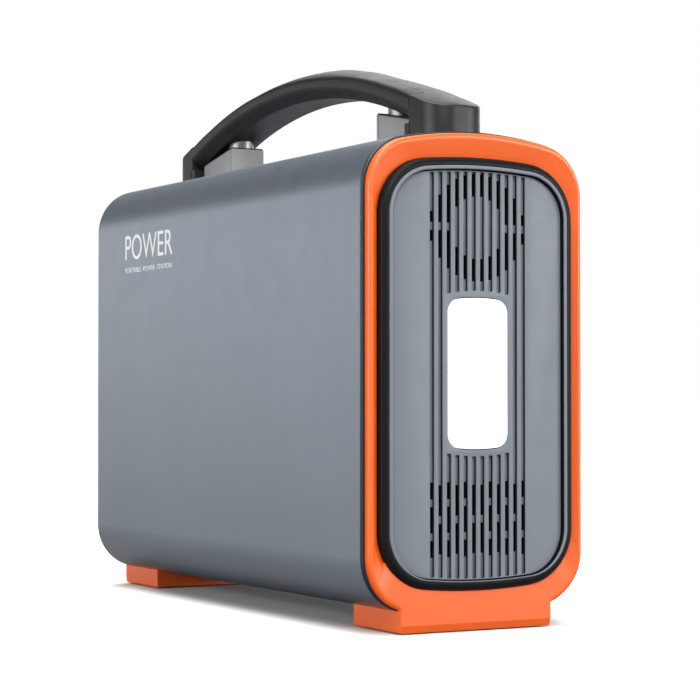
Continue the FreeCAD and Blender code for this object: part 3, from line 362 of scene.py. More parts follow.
def plate(outline, holes, low, high, edge):
    """Mesh of a flat plate lying in XY between two heights, its edges rounded."""
    curve = bpy.data.curves.new("plate", "CURVE")
    curve.dimensions = "2D"
    curve.fill_mode = "BOTH"
    for points in [outline, *holes]:
        spline = curve.splines.new("POLY")
        spline.points.add(len(points) - 1)
        for target, (x, y) in zip(spline.points, points):
            target.co = (x, y, 0, 1)
        spline.use_cyclic_u = True
    curve.bevel_depth = edge
    curve.bevel_resolution = 2
    curve.offset = -edge
    curve.extrude = (high - low) / 2 - edge
    mesh = curve_mesh(curve)
    mesh.transform(Matrix.Translation((0, 0, (high + low) / 2)))
    return mesh


def curve_mesh(curve):
    """Mesh of a curve or of lettering, without materials."""
    holder = add_object("outline", curve)
    mesh = bpy.data.meshes.new_from_object(holder.evaluated_get(bpy.context.evaluated_depsgraph_get()))
    bpy.data.objects.remove(holder)
    mesh.materials.clear()
    return mesh


def upright(x, y, z):
    """Matrix that stands an XY plane up to face along Y, its origin at a point."""
    return Matrix(((-1, 0, 0, x), (0, 0, 1, y), (0, 1, 0, z), (0, 0, 0, 1)))


def add_slab(bm, outline, holes, y_back, y_front, edge):
    """Plate that faces along Y; outlines are (x, z) points."""
    flat, *flat_holes = [[(-x, z) for x, z in points] for points in (outline, *holes)]
    add_mesh(bm, plate(flat, flat_holes, y_back, y_front, edge), upright(0, 0, 0))


def add_words(bm, text, size, to_frame):
    """Raised lettering of a size (width, height, relief) in mm, centred, moved from its XY plane."""
    curve = bpy.data.curves.new("letters", "FONT")
    curve.body = text
    curve.extrude = 0.5
    mesh = curve_mesh(curve)
    spots = [vert.co for vert in mesh.vertices]
    low = Vector([min(spot[i] for spot in spots) for i in range(3)])
    high = Vector([max(spot[i] for spot in spots) for i in range(3)])
    stretch = Matrix.Diagonal([wanted * MM / is_now for wanted, is_now in zip(size, high - low)] + [1])
    add_mesh(bm, mesh, to_frame @ stretch @ Matrix.Translation(-(low + high) / 2))


def add_mesh(bm, mesh, to_frame):
    mesh.transform(to_frame)
    bm.from_mesh(mesh)
    bpy.data.meshes.remove(mesh)


def rectangle(x, z_low, z_high, width, radius=0.15 * MM):
    """Upright slot outline as (x, z) points."""
    return box_outline(width, z_high - z_low, radius, 2, (x, (z_low + z_high) / 2))


# ---------------- crowned outlines


class Outline:
    """Rounded rectangle with gently crowned top and bottom, centred on a CAD node's box."""

    CREASE = (30.0, 31.5)
    LOW_RATE = 0.75
    CORNER_STEPS = (8, 14)
    SIDE_STEPS = 6
    CROWN_STEPS = 24
    LOWER_TALLER = 1.6

    def __init__(self, node, corner, crown, narrower=0.0, *, low_extra=0.0, low_from=0.0):
        low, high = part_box(node)
        self.wide = (high.x - low.x) / 2 - narrower
        self.tall = (high.z - low.z) / 2
        self.middle = (high.z + low.z) / 2
        self.corner = corner
        self.crown = crown
        self.low_extra, self.low_from = low_extra, low_from

    def points(self, inset=0.0):
        """(x, z, direction) all the way round; direction is where the edge faces, in degrees."""
        wide, tall, corner, crown = (size - inset for size in (self.wide, self.tall, self.corner, self.crown))
        reach, corner_x = crown - corner, wide - corner
        corner_z = sqrt(reach ** 2 - corner_x ** 2) - crown + tall
        tilt = degrees(asin(corner_x / reach))
        first, second = self.CREASE
        one, two = self.CORNER_STEPS
        turns = [first * i / one for i in range(one + 1)]
        turns += [second + (90 - tilt - second) * i / two for i in range(two + 1)]
        found = []

        def arc(x, z, radius, angles):
            for angle in angles:
                turn = radians(angle)
                found.append((x + radius * cos(turn), z + radius * sin(turn), angle))

        def side(x, direction, rising):
            for i in range(1, self.SIDE_STEPS):
                share = i / self.SIDE_STEPS * 2 - 1
                found.append((x, corner_z * share * (1 if rising else -1), direction))

        crown_turns = [90 - tilt + 2 * tilt * i / self.CROWN_STEPS for i in range(1, self.CROWN_STEPS)]
        arc(corner_x, corner_z, corner, turns)
        arc(0, tall - crown, crown, crown_turns)
        arc(-corner_x, corner_z, corner, [180 - t for t in reversed(turns)])
        side(-wide, 180, False)
        arc(-corner_x, -corner_z, corner, [180 + t for t in turns])
        arc(0, crown - tall, crown, [180 + t for t in crown_turns])
        arc(corner_x, -corner_z, corner, [360 - t for t in reversed(turns)])
        side(wide, 0, True)
        lower = min(self.low_extra, max(0.0, inset - self.low_from) * self.LOW_RATE)
        placed = []
        for x, z, direction in found:
            share = max(0.0, -sin(radians(direction)))
            placed.append((x, self.middle + z - lower * share, direction % 360))
        return placed

    def loop(self, inset, y, taller=0.0):
        """Points of the outline at one depth; y is a number or a function of (x, direction)."""
        found = []
        for x, z, direction in self.points(inset):
            depth = y(x, direction) if callable(y) else y
            rise = taller if direction < 180 else self.LOWER_TALLER * taller
            found.append(Vector((x, depth, z + rise * sin(radians(direction)))))
        return found

    def flat(self, inset=0.0):
        return [(x, z) for x, z, _ in self.points(inset)]


SLEEVE = Outline("housing_sleeve", 19.5 * MM, 155 * MM)
RING = Outline("rear_trim_ring", 20.3 * MM, 220 * MM, 0.45 * MM, low_extra=0.9 * MM, low_from=3.3 * MM)
LENS = Outline("lamp_lens", 5.2 * MM, 70 * MM)

# Where the surfaces of an end lie along Y, from the housing outwards, and how wide its bands are.
sleeve_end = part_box("housing_sleeve")[1].y
sleeve_wall = 2.0 * MM
bezel_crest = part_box("rear_bezel")[1].y
bezel_ledge = bezel_crest - 2.2 * MM
foot_front = bezel_crest - 0.8 * MM
foot_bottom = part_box("rear_bezel")[0].z
foot_half_width = 31.4 * MM
foot_length = 34.3 * MM
foot_chamfer = 2.6 * MM
foot_lean = 0.8 * MM
settle = 0.8 * MM  # how much further in the ring, the rim and the lamp sit than in the CAD
ring_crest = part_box("rear_trim_ring")[1].y - settle
ring_band = 3.0 * MM
rim_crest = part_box("rear_panel_frame")[1].y - settle
rim_band = 1.3 * MM
fit_gap = 0.1 * MM
groove_band = 0.45 * MM
groove_floor = rim_crest - 3.5 * MM
panel_face = rim_crest - 1.8 * MM
panel_inset = ring_band + fit_gap + rim_band + groove_band


# ---------------- housing


def keep_swept(outline, section, name, turn=None, **settings):
    """Piece with a closed section of (inset, y) points, swept round an outline."""
    bm = bmesh.new()
    add_loft(bm, [outline.loop(inset, y) for inset, y in section], closed=True)
    keep(bm, name, turn=turn, **settings)


def sleeve():
    """Extruded tube, and the dark line of its cut ends, coloured dark as painted shade."""
    tube_end = sleeve_end - 0.55 * MM
    section = [(0, -tube_end), (0, tube_end), (sleeve_wall, tube_end), (sleeve_wall, -tube_end)]
    keep_swept(SLEEVE, section, "sleeve_shell", stands_for=["housing_sleeve"], slot="painted_aluminium")
    soft, inner = 0.8 * MM, sleeve_wall + 0.05 * MM
    front = sleeve_end + 0.02 * MM
    section = [(0, tube_end), *quarter((soft, front - soft), soft, 180, 90, 3)]
    section += [(inner, front), (inner, tube_end)]
    # The cut ends take the dark colour as painted shade, not as a finish of their own.
    for end, turn in ENDS:
        keep_swept(SLEEVE, section, f"{end}_sleeve_cut", turn, slot="black_trim", ink="cut_edge_shade")


def smooth(share):
    return share * share * (3 - 2 * share)


def below_side(direction):
    """Degrees by which an outline faces below its side."""
    return min(direction - 180, 360 - direction) if direction > 180 else 0


def low_share(direction):
    """0 on the upper part of an end frame, 1 along its flat lower face, with a crease between."""
    at_crease, fade = 0.7, 18
    below = below_side(direction)
    first, second = Outline.CREASE
    if below <= first:
        return 0.0
    return min(1.0, at_crease + (1 - at_crease) * max(0, below - second) / fade)


def soft_share(direction):
    """The same change of level along the bead, spread out so that it shows no crease."""
    first, fade = 12, 48
    return smooth(min(1.0, max(0.0, (below_side(direction) - first) / fade)))


def bezel(end, turn):
    """Orange end frame: rounded bead, dished slope, flat lower face and the foot below it."""
    radius, start, taller = 1.1 * MM, 1.5 * MM, 0.7 * MM
    inside = sleeve_wall + 0.12 * MM
    over_cut = sleeve_end + 0.06 * MM
    back = sleeve_end - 3 * MM
    crest = start + radius

    def level(upper, share=low_share, drop=0.0):
        """Depth from upper to the foot's front; drop dies away where the foot carries on downwards."""

        def depth(x, direction):
            over_foot = abs(x) < foot_half_width and direction > 180
            return upper + (foot_front - upper) * share(direction) - (0 if over_foot else drop)

        return depth

    steps = [(inside, back), (inside, over_cut - 0.01 * MM), (start, over_cut)]
    steps += [(inset, level(bezel_crest, soft_share, -y))
              for inset, y in quarter((crest, -radius), radius, 180, 90, 6)]
    steps += [(crest + 0.25 * MM, level(bezel_crest, soft_share)),
              (crest + 0.55 * MM, level(bezel_crest - 0.12 * MM, soft_share))]
    # The bead stands a little taller than the tube, fading inwards; two of its loops do not.
    not_raised = (0, 3)
    loops = []
    for i, (inset, y) in enumerate(steps):
        share = 0.0 if i in not_raised else max(0.0, 1 - (inset - start) / (inside + radius - start))
        loops.append(SLEEVE.loop(inset, y, taller * share))
    loops += [RING.loop(-0.05 * MM, y) for y in (level(bezel_ledge), back)]
    bm = bmesh.new()
    add_loft(bm, loops)
    add_foot(bm, start)
    keep(bm, f"{end}_bezel_shell", turn=turn, sharp=16, stands_for=[f"{end}_bezel"], slot="orange_plastic")


def crown_at(outline, inset, x, upper=False):
    """Height of an outline's lower or upper edge at x."""
    edge = sorted((px, pz) for px, pz, direction in outline.points(inset) if (0 < direction < 180) == upper)
    for (x0, z0), (x1, z1) in zip(edge, edge[1:]):
        if x0 <= x <= x1:
            return z0 + (z1 - z0) * (x - x0) / (x1 - x0)
    return edge[-1][1]


def tube_top(x):
    return 2 * SLEEVE.middle - crown_at(SLEEVE, 0, x)


def add_foot(bm, bezel_inset):
    """Foot block under the tube, with a plate that covers the tube's cut end."""
    plate_back = sleeve_end + 0.05 * MM
    front = foot_front + 0.01 * MM
    back = front - foot_length
    edge, columns = 0.35 * MM, 24
    places = [((-1 + 2 * i / columns) * (foot_half_width - edge), 0) for i in range(columns + 1)]
    loops = []
    for x, inset in [(-foot_half_width, edge), *places, (foot_half_width, edge)]:
        tube = crown_at(SLEEVE, 0, x) + 0.3 * MM
        plate_top = crown_at(SLEEVE, bezel_inset + 1.3 * MM, x)
        bottom = foot_bottom + inset
        y_front, y_back = front - inset, back + inset
        outline = [
            (y_back, bottom + edge), (y_back + edge, bottom),
            (y_front - foot_lean, bottom), (y_front, bottom + foot_chamfer),
            (y_front, plate_top), (plate_back, plate_top), (plate_back, tube), (y_back, tube),
        ]
        loops.append([Vector((x, y, z)) for y, z in outline])
    add_loft(bm, loops, caps=(True, True))


def trim_ring(end, turn):
    """Black ring: upright outer wall, wide rounded shoulder and a narrow flat crest."""
    slope, lip = 2.5 * MM, 0.2 * MM
    back = ring_crest - 8 * MM
    section = [(0, back), *quarter((slope, ring_crest - slope), slope, 180, 90, 10)]
    section += [*quarter((ring_band - lip, ring_crest - lip), lip, 90, 0, 3), (ring_band, back)]
    keep_swept(RING, section, f"{end}_ring_shell", turn, stands_for=[f"{end}_trim_ring"], slot="black_trim")


def panel_rim(end, turn):
    """Grey rim with a rounded crest, and a black lining in the groove inside it, painted shade for the
    groove's shadow.
    """
    outer, inner = ring_band + fit_gap, ring_band + fit_gap + rim_band
    soft = 0.35 * MM
    back = rim_crest - 5.5 * MM
    section = [(outer, back), *quarter((outer + soft, rim_crest - soft), soft, 180, 90)]
    section += [*quarter((inner - soft, rim_crest - soft), soft, 90, 0), (inner, back)]
    keep_swept(RING, section, f"{end}_rim_shell", turn,
               stands_for=[f"{end}_panel_frame"], slot="grey_plastic")
    # The lining is black as painted shade: it darkens the rim's inner wall and the groove floor.
    near, far, under_panel = (inner + extra * MM for extra in (-0.03, 0.12, 1.5))
    top = rim_crest - soft - 0.05 * MM
    section = [(near, back), (near, top), (far, top), (far, groove_floor), (under_panel, groove_floor),
               (under_panel, back)]
    keep_swept(RING, section, f"{end}_groove_shade_lining", turn, slot="black_trim")


# ---------------- rear panel and lamp

channel_count = 12
channel_pitch = 3.468 * MM
channel_width = 1.7 * MM
channel_depth = 1.1 * MM
channel_margin = 0.35 * MM
panel_edge = 0.14 * MM
fan_low, fan_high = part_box("fan_rotor")
fan_centre = (fan_low + fan_high) / 2
vent_height = 39.7 * MM
# Heights of a vent column's slots from the vent's middle, in mm: outermost column, then the next.
VENT_SLOTS = (((7.25, 13.2), (-4.64, 4.64), (-13.2, -7.25)), ((1.33, 12.15), (-12.15, -1.33)))


def channel_spans(x):
    """Heights between which a channel is cut, stopping short of the lamp."""
    edge = abs(x) + channel_width / 2
    low = crown_at(RING, panel_inset, edge) + channel_margin
    high = crown_at(RING, panel_inset, edge, True) - channel_margin
    if abs(x) > LENS.wide + 1 * MM:
        return [(low, high)]
    arch = LENS.crown - sqrt(LENS.crown ** 2 - x ** 2)
    stop = LENS.tall + 2.4 * MM - arch
    return [(low, LENS.middle - stop), (LENS.middle + stop, high)]


def fan_spans(x):
    """Heights of the two slots of the fan ring in the channel at x."""

    def reach(radius, least):
        return max(sqrt(max(0.0, (radius * MM) ** 2 - x ** 2)), least * MM)

    outer, inner = reach(19.2, 5.3), reach(11.2, 1.4)
    return [(fan_centre.z - outer, fan_centre.z - inner), (fan_centre.z + inner, fan_centre.z + outer)]


def vent_spans(column):
    """Heights of the lower vent's slots: three and two by turns, from the edges inwards."""
    spans = VENT_SLOTS[min(column, channel_count - 1 - column) % 2]
    return [(vent_height + low * MM, vent_height + high * MM) for low, high in spans]


def add_lining(bm, outline, y_back, y_front, thick):
    """Thin wall just inside an upright opening."""
    middle_x = sum(x for x, _ in outline) / len(outline)
    low, high = min(z for _, z in outline), max(z for _, z in outline)
    wide = 2 * max(x - middle_x for x, _ in outline)
    inner = rectangle(middle_x, low + thick, high - thick, wide - 2 * thick)
    outer = rectangle(middle_x, low, high, wide)
    section = ((outer, y_back), (outer, y_front), (inner, y_front), (inner, y_back))
    add_loft(bm, [at_depth(points, y) for points, y in section], closed=True)


def grille():
    """Panel in layers: channels through the face, slots through the sheet, and a black backing whose colour
    is painted shade in the slots and round the lamp.
    """
    outline, window, snug = RING.flat(panel_inset), LENS.flat(-0.22 * MM), LENS.flat(0.1 * MM)
    channels, slots = [], []
    for column in range(channel_count):
        x = (column - (channel_count - 1) / 2) * channel_pitch
        channels += [rectangle(x, low, high, channel_width, 0.3 * MM) for low, high in channel_spans(x)]
        slots += [rectangle(x, low, high, channel_width) for low, high in fan_spans(x) + vent_spans(column)]
    sheet, thin_edge = 0.2 * MM, 0.02 * MM
    floor_level = panel_face - channel_depth
    bm = bmesh.new()
    add_slab(bm, outline, [window, *channels], floor_level, panel_face, panel_edge)
    add_slab(bm, outline, [window, *slots], floor_level - sheet, floor_level, thin_edge)
    keep(bm, "grille_face", sharp=40, stands_for=["rear_grille"], slot="grey_plastic")
    # Black backing: painted shade, dark where the slots and the gap round the lamp look into the housing.
    bm = bmesh.new()
    add_slab(bm, outline, [snug, *slots], floor_level - 2.2 * MM, floor_level - sheet, thin_edge)
    keep(bm, "grille_shade_backing", sharp=40, slot="black_trim")
    bm = bmesh.new()
    for channel in channels:
        add_lining(bm, channel, floor_level, panel_face - 0.22 * MM, 0.13 * MM)
    keep(bm, "grille_channel_walls", sharp=40, slot="grey_plastic", ink="channel_shade")


def lens():
    """Opal window, a shallow dome with a rounded edge."""
    low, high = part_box("lamp_lens")
    face = high.y - settle
    edge, gap, dome = 0.5 * MM, 0.2 * MM, 0.35 * MM
    loops = [LENS.loop(gap, low.y - settle + 0.6 * MM)]
    loops += [LENS.loop(inset, y) for inset, y in quarter((gap + edge, face - edge), edge, 180, 90)]
    bm = bmesh.new()
    add_domed(bm, loops, (0, LENS.middle), (0.97, 0.9, 0.75, 0.55, 0.3, 0.12), dome)
    keep(bm, "lens_dome", stands_for=["lamp_lens"], slot="opal_plastic")


def fan_wheel():
    """Rotor with a domed hub and seven curved blades."""
    front, back = fan_high.y, fan_low.y
    hub, root = 8.8 * MM, 0.4 * MM
    tip = (fan_high.x - fan_low.x) / 2 - 0.2 * MM
    blades, steps, half_thick, bulge = 7, 8, 0.25 * MM, 0.5 * MM
    bm = bmesh.new()
    profile = [(0, back + 1 * MM), (hub - 1.4 * MM, back + 1 * MM), (hub - 1.4 * MM, back), (hub, back)]
    profile += [(hub, front - 1 * MM), (hub - 0.3 * MM, front - 0.3 * MM), (hub - 1 * MM, front), (0, front)]
    add_turned(bm, profile, (0, 0, fan_centre.z), (0, 1, 0))
    for blade in range(blades):
        loops = []
        for step in range(steps + 1):
            share = step / steps
            radius = hub - root + (tip - hub + root) * share
            lean = radians(360 / blades * blade + 16 * share ** 1.5)
            twist = radians(34 + 16 * share)
            outward = Vector((cos(lean), 0, sin(lean)))
            sideways = Vector((-sin(lean), 0, cos(lean)))
            along = sideways * cos(twist) + Vector((0, 1, 0)) * sin(twist)
            across = along.cross(outward).normalized()
            middle = outward * radius + Vector((0, (front + back) / 2, fan_centre.z))
            chord, thick, camber = along * ((3.4 + 1.2 * share) * MM), across * half_thick, across * bulge
            loops.append([middle - chord, middle - thick + camber, middle + chord, middle + thick + camber])
        add_loft(bm, loops, caps=(True, True))
    keep(bm, "fan_wheel_blades", body="fan_wheel", stands_for=["fan_rotor"], slot="black_plastic")


# ---------------- handle

handle_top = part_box("handle_grip")[1].z
bow_radius = 265 * MM
bow_centre = handle_top - bow_radius
grip_half_width = 12 * MM
grip_crown = 28 * MM
grip_thickness = 11.3 * MM
seam = 94.6 * MM
cap_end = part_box("rear_handle_cap")[1].y
cap_corner = 9.4 * MM
tongue_start = 67.5 * MM
tongue_half = 5.4 * MM
tongue_depth = 1.5 * MM


# Along the bow: distance from the middle, how far the crest sinks, and the share of the full crown.
CREST = ((0, -0.45, 1.5), (28, -0.5, 1.5), (45, 0.1, 1.1), (60, 1.1, 0.6), (75, 1.25, 0.5), (90, 0.75, 0.55),
         (112, 0.0, 0.5))


def crest(y):
    """Sink of the crest and share of the crown at y, blended smoothly between the places above."""
    along = abs(y) / MM
    for (y0, sink0, share0), (y1, sink1, share1) in zip(CREST, CREST[1:]):
        if along <= y1:
            step = smooth((along - y0) / (y1 - y0))
            return (sink0 + (sink1 - sink0) * step) * MM, share0 + (share1 - share0) * step
    return CREST[-1][1] * MM, CREST[-1][2]


def top_drop(x, y):
    """How far the handle's top at x lies below the bow's plain arc."""
    sink, share = crest(y)
    return sink + share * (grip_crown - sqrt(grip_crown ** 2 - x ** 2))


def bow_height(drop, y):
    """Height of a line that runs drop below the bow's arc."""
    return bow_centre + sqrt((bow_radius - drop) ** 2 - y ** 2)


# Half widths in mm of the lines along the grip's top; the first five lie in the tongue's recess.
GRIP_TOP = (0, 1.4, 2.8, 4.2, 5.58, 5.58, 7.0, 8.2, 9.2)


def grip_section(y, recess):
    """Half of the grip's section as (x, drop) points; the strip for the tongue sinks by recess."""
    side, under = grip_half_width, 7.6 * MM
    slant = (side - under) * 0.8
    start = GRIP_TOP[-1] * MM
    corners = [
        (start, top_drop(start, y), 0),
        (side, top_drop(side, y), 2.0 * MM),
        (side, grip_thickness - slant, 3.0 * MM),
        (under, grip_thickness, 1.6 * MM),
        (0, grip_thickness, 0),
    ]
    top = []
    for i, place in enumerate(GRIP_TOP[:-1]):
        top.append((place * MM, top_drop(place * MM, y) + (recess if i < 5 else 0)))
    return top + rounded(corners, 6)


def grip():
    """Bowed grip; its top is recessed at both ends for the tongues of the caps."""
    end = seam - 0.15 * MM
    recess_start = tongue_start - 0.18 * MM
    steps = 60
    places = [(-end + 2 * end * i / steps) for i in range(steps + 1)]
    places = [y for y in places if abs(abs(y) - recess_start) > 0.4 * MM]
    rows = [(y, tongue_depth if abs(y) > recess_start else 0) for y in places]
    for side in (-1, 1):
        rows += [(side * recess_start, 0), (side * (recess_start + 0.001 * MM), tongue_depth)]
    rows.sort()
    loops = []
    for y, recess in rows:
        half = grip_section(y, recess)
        whole = [(-x, drop) for x, drop in reversed(half) if x > 0] + half
        loops.append([Vector((x, y, bow_height(drop, y))) for x, drop in whole])
    bm = bmesh.new()
    add_loft(bm, loops, caps=(True, True))
    return keep(bm, "grip_bow", sharp=38, stands_for=["handle_grip"], slot="handle_plastic")


def cap(end, turn):
    """End cap: vertical walls round a curved plan, the bow's top on it, and the tongue."""
    skirt, soft = 91.6 * MM, 0.45 * MM
    half = grip_half_width

    def plan(inset):
        corner, near_corner = cap_corner - inset, 0.25 * MM
        wide, far, near = half - inset, cap_end - inset, seam + inset
        corners = [(wide, far, corner), (-wide, far, corner),
                   (-wide, near, near_corner), (wide, near, near_corner)]
        return subdivided(rounded(corners, 14), 2 * MM, 12)

    def top(x, y, below=0.0):
        return Vector((x, y, bow_height(top_drop(x, y), y) - below))

    loops = [[Vector((x, y, tube_top(x) - 0.2 * MM)) for x, y in plan(0)]]
    for i in range(5):
        turn_by = radians(90 * i / 4)
        inset = soft * (1 - cos(turn_by))
        below = soft * (1 - sin(turn_by))
        loops.append([top(x, y, below) for x, y in plan(inset)])
    middle = (seam + cap_end) / 2
    inner = plan(soft)
    for share in (0.85, 0.65, 0.45, 0.25, 0.1):
        loops.append([top(x * share, middle + (y - middle) * share) for x, y in inner])
    bm = bmesh.new()
    rows = add_loft(bm, loops, caps=(True, False))
    add_fan(bm, rows[-1], top(0, middle))
    foot = [(-half, skirt), (half, skirt), (half, seam + 1 * MM), (-half, seam + 1 * MM)]
    heights = (tube_top(half), 183 * MM)
    add_loft(bm, [[Vector((x, y, z)) for x, y in foot] for z in heights], caps=(True, True))
    add_tongue(bm)
    keep(bm, f"{end}_cap_shell", turn=turn, sharp=38, stands_for=[f"{end}_handle_cap"], slot="handle_plastic")


def subdivided(points, longest, parts):
    """Closed outline whose segments over a length are cut into equal parts."""
    found = []
    for (x0, y0), (x1, y1) in zip(points, points[1:] + points[:1]):
        count = parts if hypot(x1 - x0, y1 - y0) > longest else 1
        found += [(x0 + (x1 - x0) * i / count, y0 + (y1 - y0) * i / count) for i in range(count)]
    return found


def add_tongue(bm):
    """Strip of the cap that lies in the grip's top, flush with it and one with the cap's own top."""
    steps, across = 16, 6
    end = seam + 0.7 * MM
    spots = [tongue_half * (2 * k / across - 1) for k in range(across + 1)]
    loops = []
    for i in range(steps + 1):
        y = tongue_start + (end - tongue_start) * i / steps
        loop = []
        for line, sink in ((spots, -0.004 * MM), (spots[::-1], tongue_depth - 0.1 * MM)):
            loop += [Vector((x, y, bow_height(top_drop(x, y) + sink, y))) for x in line]
        loops.append(loop)
    add_loft(bm, loops, caps=(True, True))


def bracket(end, turn):
    """Grey block under each end of the grip, with a thin black washer along its slanted top; the washer is a
    plausible gasket and also painted shade for the dark line along the bracket's top edge.
    """
    low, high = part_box("rear_handle_bracket")
    half, inner, outer = high.x, low.y, high.y
    fall = 5.3 * MM / (outer - inner)
    bottom = tube_top(half) - 0.5 * MM

    def add_block(bm, y_low, y_high, width, rise, thick=None):
        """Block under the slanted top, down to the tube or of one thickness."""
        corners = [(-width, y_low), (width, y_low), (width, y_high), (-width, y_high)]
        upper = [Vector((x, y, high.z + rise - fall * (y - inner))) for x, y in corners]
        lower = [Vector((p.x, p.y, p.z - thick if thick else bottom)) for p in upper]
        add_loft(bm, [lower, upper], caps=(True, True))

    plate_end, joint, lap, washer = inner + 1.2 * MM, 0.5 * MM, 0.2 * MM, 0.6 * MM
    bm = bmesh.new()
    add_block(bm, inner, plate_end, half, 0)
    add_block(bm, plate_end + joint, outer, half, 0)
    add_block(bm, plate_end - lap, plate_end + joint + lap, half - joint, -washer)
    soften(keep(bm, f"{end}_bracket_block", turn=turn, stands_for=[f"{end}_handle_bracket"],
                slot="bracket_grey"), 0.25 * MM)
    # The washer, a plausible gasket, is black also as painted shade for the dark line at the bracket's top
    # edge.
    bm = bmesh.new()
    add_block(bm, inner + 0.5 * MM, outer, half - 0.3 * MM, washer, washer)
    soften(keep(bm, f"{end}_bracket_washer_and_shade", turn=turn, slot="rubber"), 0.12 * MM)


def post(end, turn):
    """Polished round post with softened edges, between a bracket and the grip."""
    low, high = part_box("rear_handle_post")
    radius, edge = (high.x - low.x) / 2, 0.4 * MM
    profile = [(0, low.z), (radius - edge, low.z), (radius, low.z + edge), (radius, high.z - edge)]
    profile += [(radius - edge, high.z), (0, high.z)]
    bm = bmesh.new()
    add_turned(bm, profile, (0, (low.y + high.y) / 2, 0), (0, 0, 1), 64)
    keep(bm, f"{end}_post_turned", turn=turn, stands_for=[f"{end}_handle_post"], slot="polished_steel")


# ---------------- underside


def cross_outline(reach, half_width):
    """Outline of a cross recess."""
    a, b = half_width, reach
    return [(a, a), (a, b), (-a, b), (-a, a), (-b, a), (-b, -a),
            (-a, -a), (-a, -b), (a, -b), (a, -a), (b, -a), (b, a)]


def foot_pads():
    """Rubber pads with a raised border and three ribs that stand on the floor."""
    low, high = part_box("foot_pads")
    wide, long, border = 13.6, 23.6, 3.0
    depth, rib_pitch = high.z - low.z, 5.0 * MM
    bm = bmesh.new()
    for side, end in CORNERS:
        place = (side * (high.x - wide * MM / 2), end * (high.y - long * MM / 2), 0)
        well = box_mm(wide - border, long - border, 1.0)
        parts = [plate(box_mm(wide, long, 1.5), [well], 0, depth, 0.3 * MM),
                 plate(well, [], 0.5 * MM, depth, 0.05 * MM)]
        for rib in (-1, 0, 1):
            bar = box_mm(wide - border, 1.4, 0.5, centre=(0, rib * rib_pitch))
            parts.append(plate(bar, [], 0.1 * MM, 0.9 * MM, 0.2 * MM))
        for mesh in parts:
            add_mesh(bm, mesh, Matrix.Translation(place))
    keep(bm, "tread_pads", stands_for=["foot_pads"], slot="rubber")


def foot_screws():
    """Screw heads with cross recesses, sunk in the feet."""
    low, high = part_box("foot_screws")
    radius = 2.8 * MM
    bm = bmesh.new()
    for side, end in CORNERS:
        place = Matrix.Translation((side * (high.x - radius), end * (high.y - radius), low.z))
        cross = cross_outline(1.5 * MM, 0.35 * MM)
        add_mesh(bm, plate(round_outline(radius), [cross], 0, 0.8 * MM, 0.2 * MM), place)
        add_mesh(bm, plate(round_outline(radius - 0.2 * MM), [], 0.7 * MM, 2.0 * MM, 0.05 * MM), place)
    keep(bm, "cross_screws", stands_for=["foot_screws"], slot="steel")


# ---------------- front panel
# Built as it would face the rear, then turned half round: local x is the frame's -x.


def local(node):
    """Centre (x, z), half sizes and y range of a front node, before the half turn."""
    low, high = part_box(node)
    centre = (-(low.x + high.x) / 2, (low.z + high.z) / 2)
    return centre, ((high.x - low.x) / 2, (high.z - low.z) / 2), (-high.y, -low.y)


def around(node, gap, radius, steps=4):
    """Rounded outline round a front node's box; gap and radius are in mm."""
    centre, half, _ = local(node)
    return box_outline(2 * half[0] + gap * MM, 2 * half[1] + gap * MM, radius * MM, steps, centre)


def turn_front(bm, name, **settings):
    keep(bm, name, turn=HALF_TURN, **settings)


FRONT_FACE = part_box("rear_grille")[1].y
USB_A = ((19.0, 97.0), (0.0, 97.0))
DC_OUTPUTS = ((-17.0, 83.0), (-17.0, 66.0))
KEYS = ("dc", "ac", "lamp")


def in_mm(place):
    return place[0] * MM, place[1] * MM


def moved(place, x, z):
    """A place moved by millimetres."""
    return place[0] + x * MM, place[1] + z * MM


def add_panel_slab(bm, outline, holes, back, front, edge):
    """Slab whose back and front are in mm from the panel's face."""
    add_slab(bm, outline, holes, FRONT_FACE + back * MM, FRONT_FACE + front * MM, edge * MM)


def front_face():
    """Panel with an opening for each fitting."""
    holes = [around("display_lens", 0.2, 1.2)]
    holes += [box_mm(14.5, 9.5, 1.2, centre=local(f"{key}_button")[0]) for key in KEYS]
    holes += [box_mm(13.4, 6.0, 0.5, centre=in_mm(place)) for place in USB_A]
    holes += [box_mm(9.3, 3.6, 1.79, 8, local("usb_c_socket")[0]), around("ac_outlet", 0.2, 2.6)]
    holes.append(round_outline(13.1 * MM, 64, local("car_socket")[0]))
    holes += [round_outline(4.5 * MM, 40, in_mm(place)) for place in DC_OUTPUTS]
    holes.append(round_outline(6.1 * MM, 40, local("dc_input_jack")[0]))
    bm = bmesh.new()
    add_slab(bm, RING.flat(panel_inset), holes, FRONT_FACE - 3.2 * MM, FRONT_FACE, panel_edge)
    turn_front(bm, "front_face", sharp=40, stands_for=["front_panel"], slot="grey_plastic")


SEGMENTS = {"0": "abcdef", "1": "bc", "5": "afgcd", "6": "afgedc"}
FIGURE_RELIEF = 0.05 * MM


def add_digit(bm, digit, centre, wide, tall, y):
    """Seven-segment digit as thin bars; centre is (x, z), wide and tall are in mm."""
    wide, tall = wide * MM, tall * MM
    bar, gap = 0.13 * tall, 0.02 * tall
    half_wide, half_tall = wide / 2 - bar / 2, tall / 2 - bar / 2
    flat = (wide - bar - 2 * gap, bar)
    upright_bar = (bar, half_tall - 2 * gap)
    places = {
        "a": (0, half_tall, flat), "g": (0, 0, flat), "d": (0, -half_tall, flat),
        "b": (-half_wide, half_tall / 2, upright_bar), "c": (-half_wide, -half_tall / 2, upright_bar),
        "f": (half_wide, half_tall / 2, upright_bar), "e": (half_wide, -half_tall / 2, upright_bar),
    }
    for name in SEGMENTS[digit]:
        x, z, size = places[name]
        add_prism(bm, box_outline(*size, bar * 0.3, 2, (centre[0] + x, centre[1] + z)), y, y + FIGURE_RELIEF)


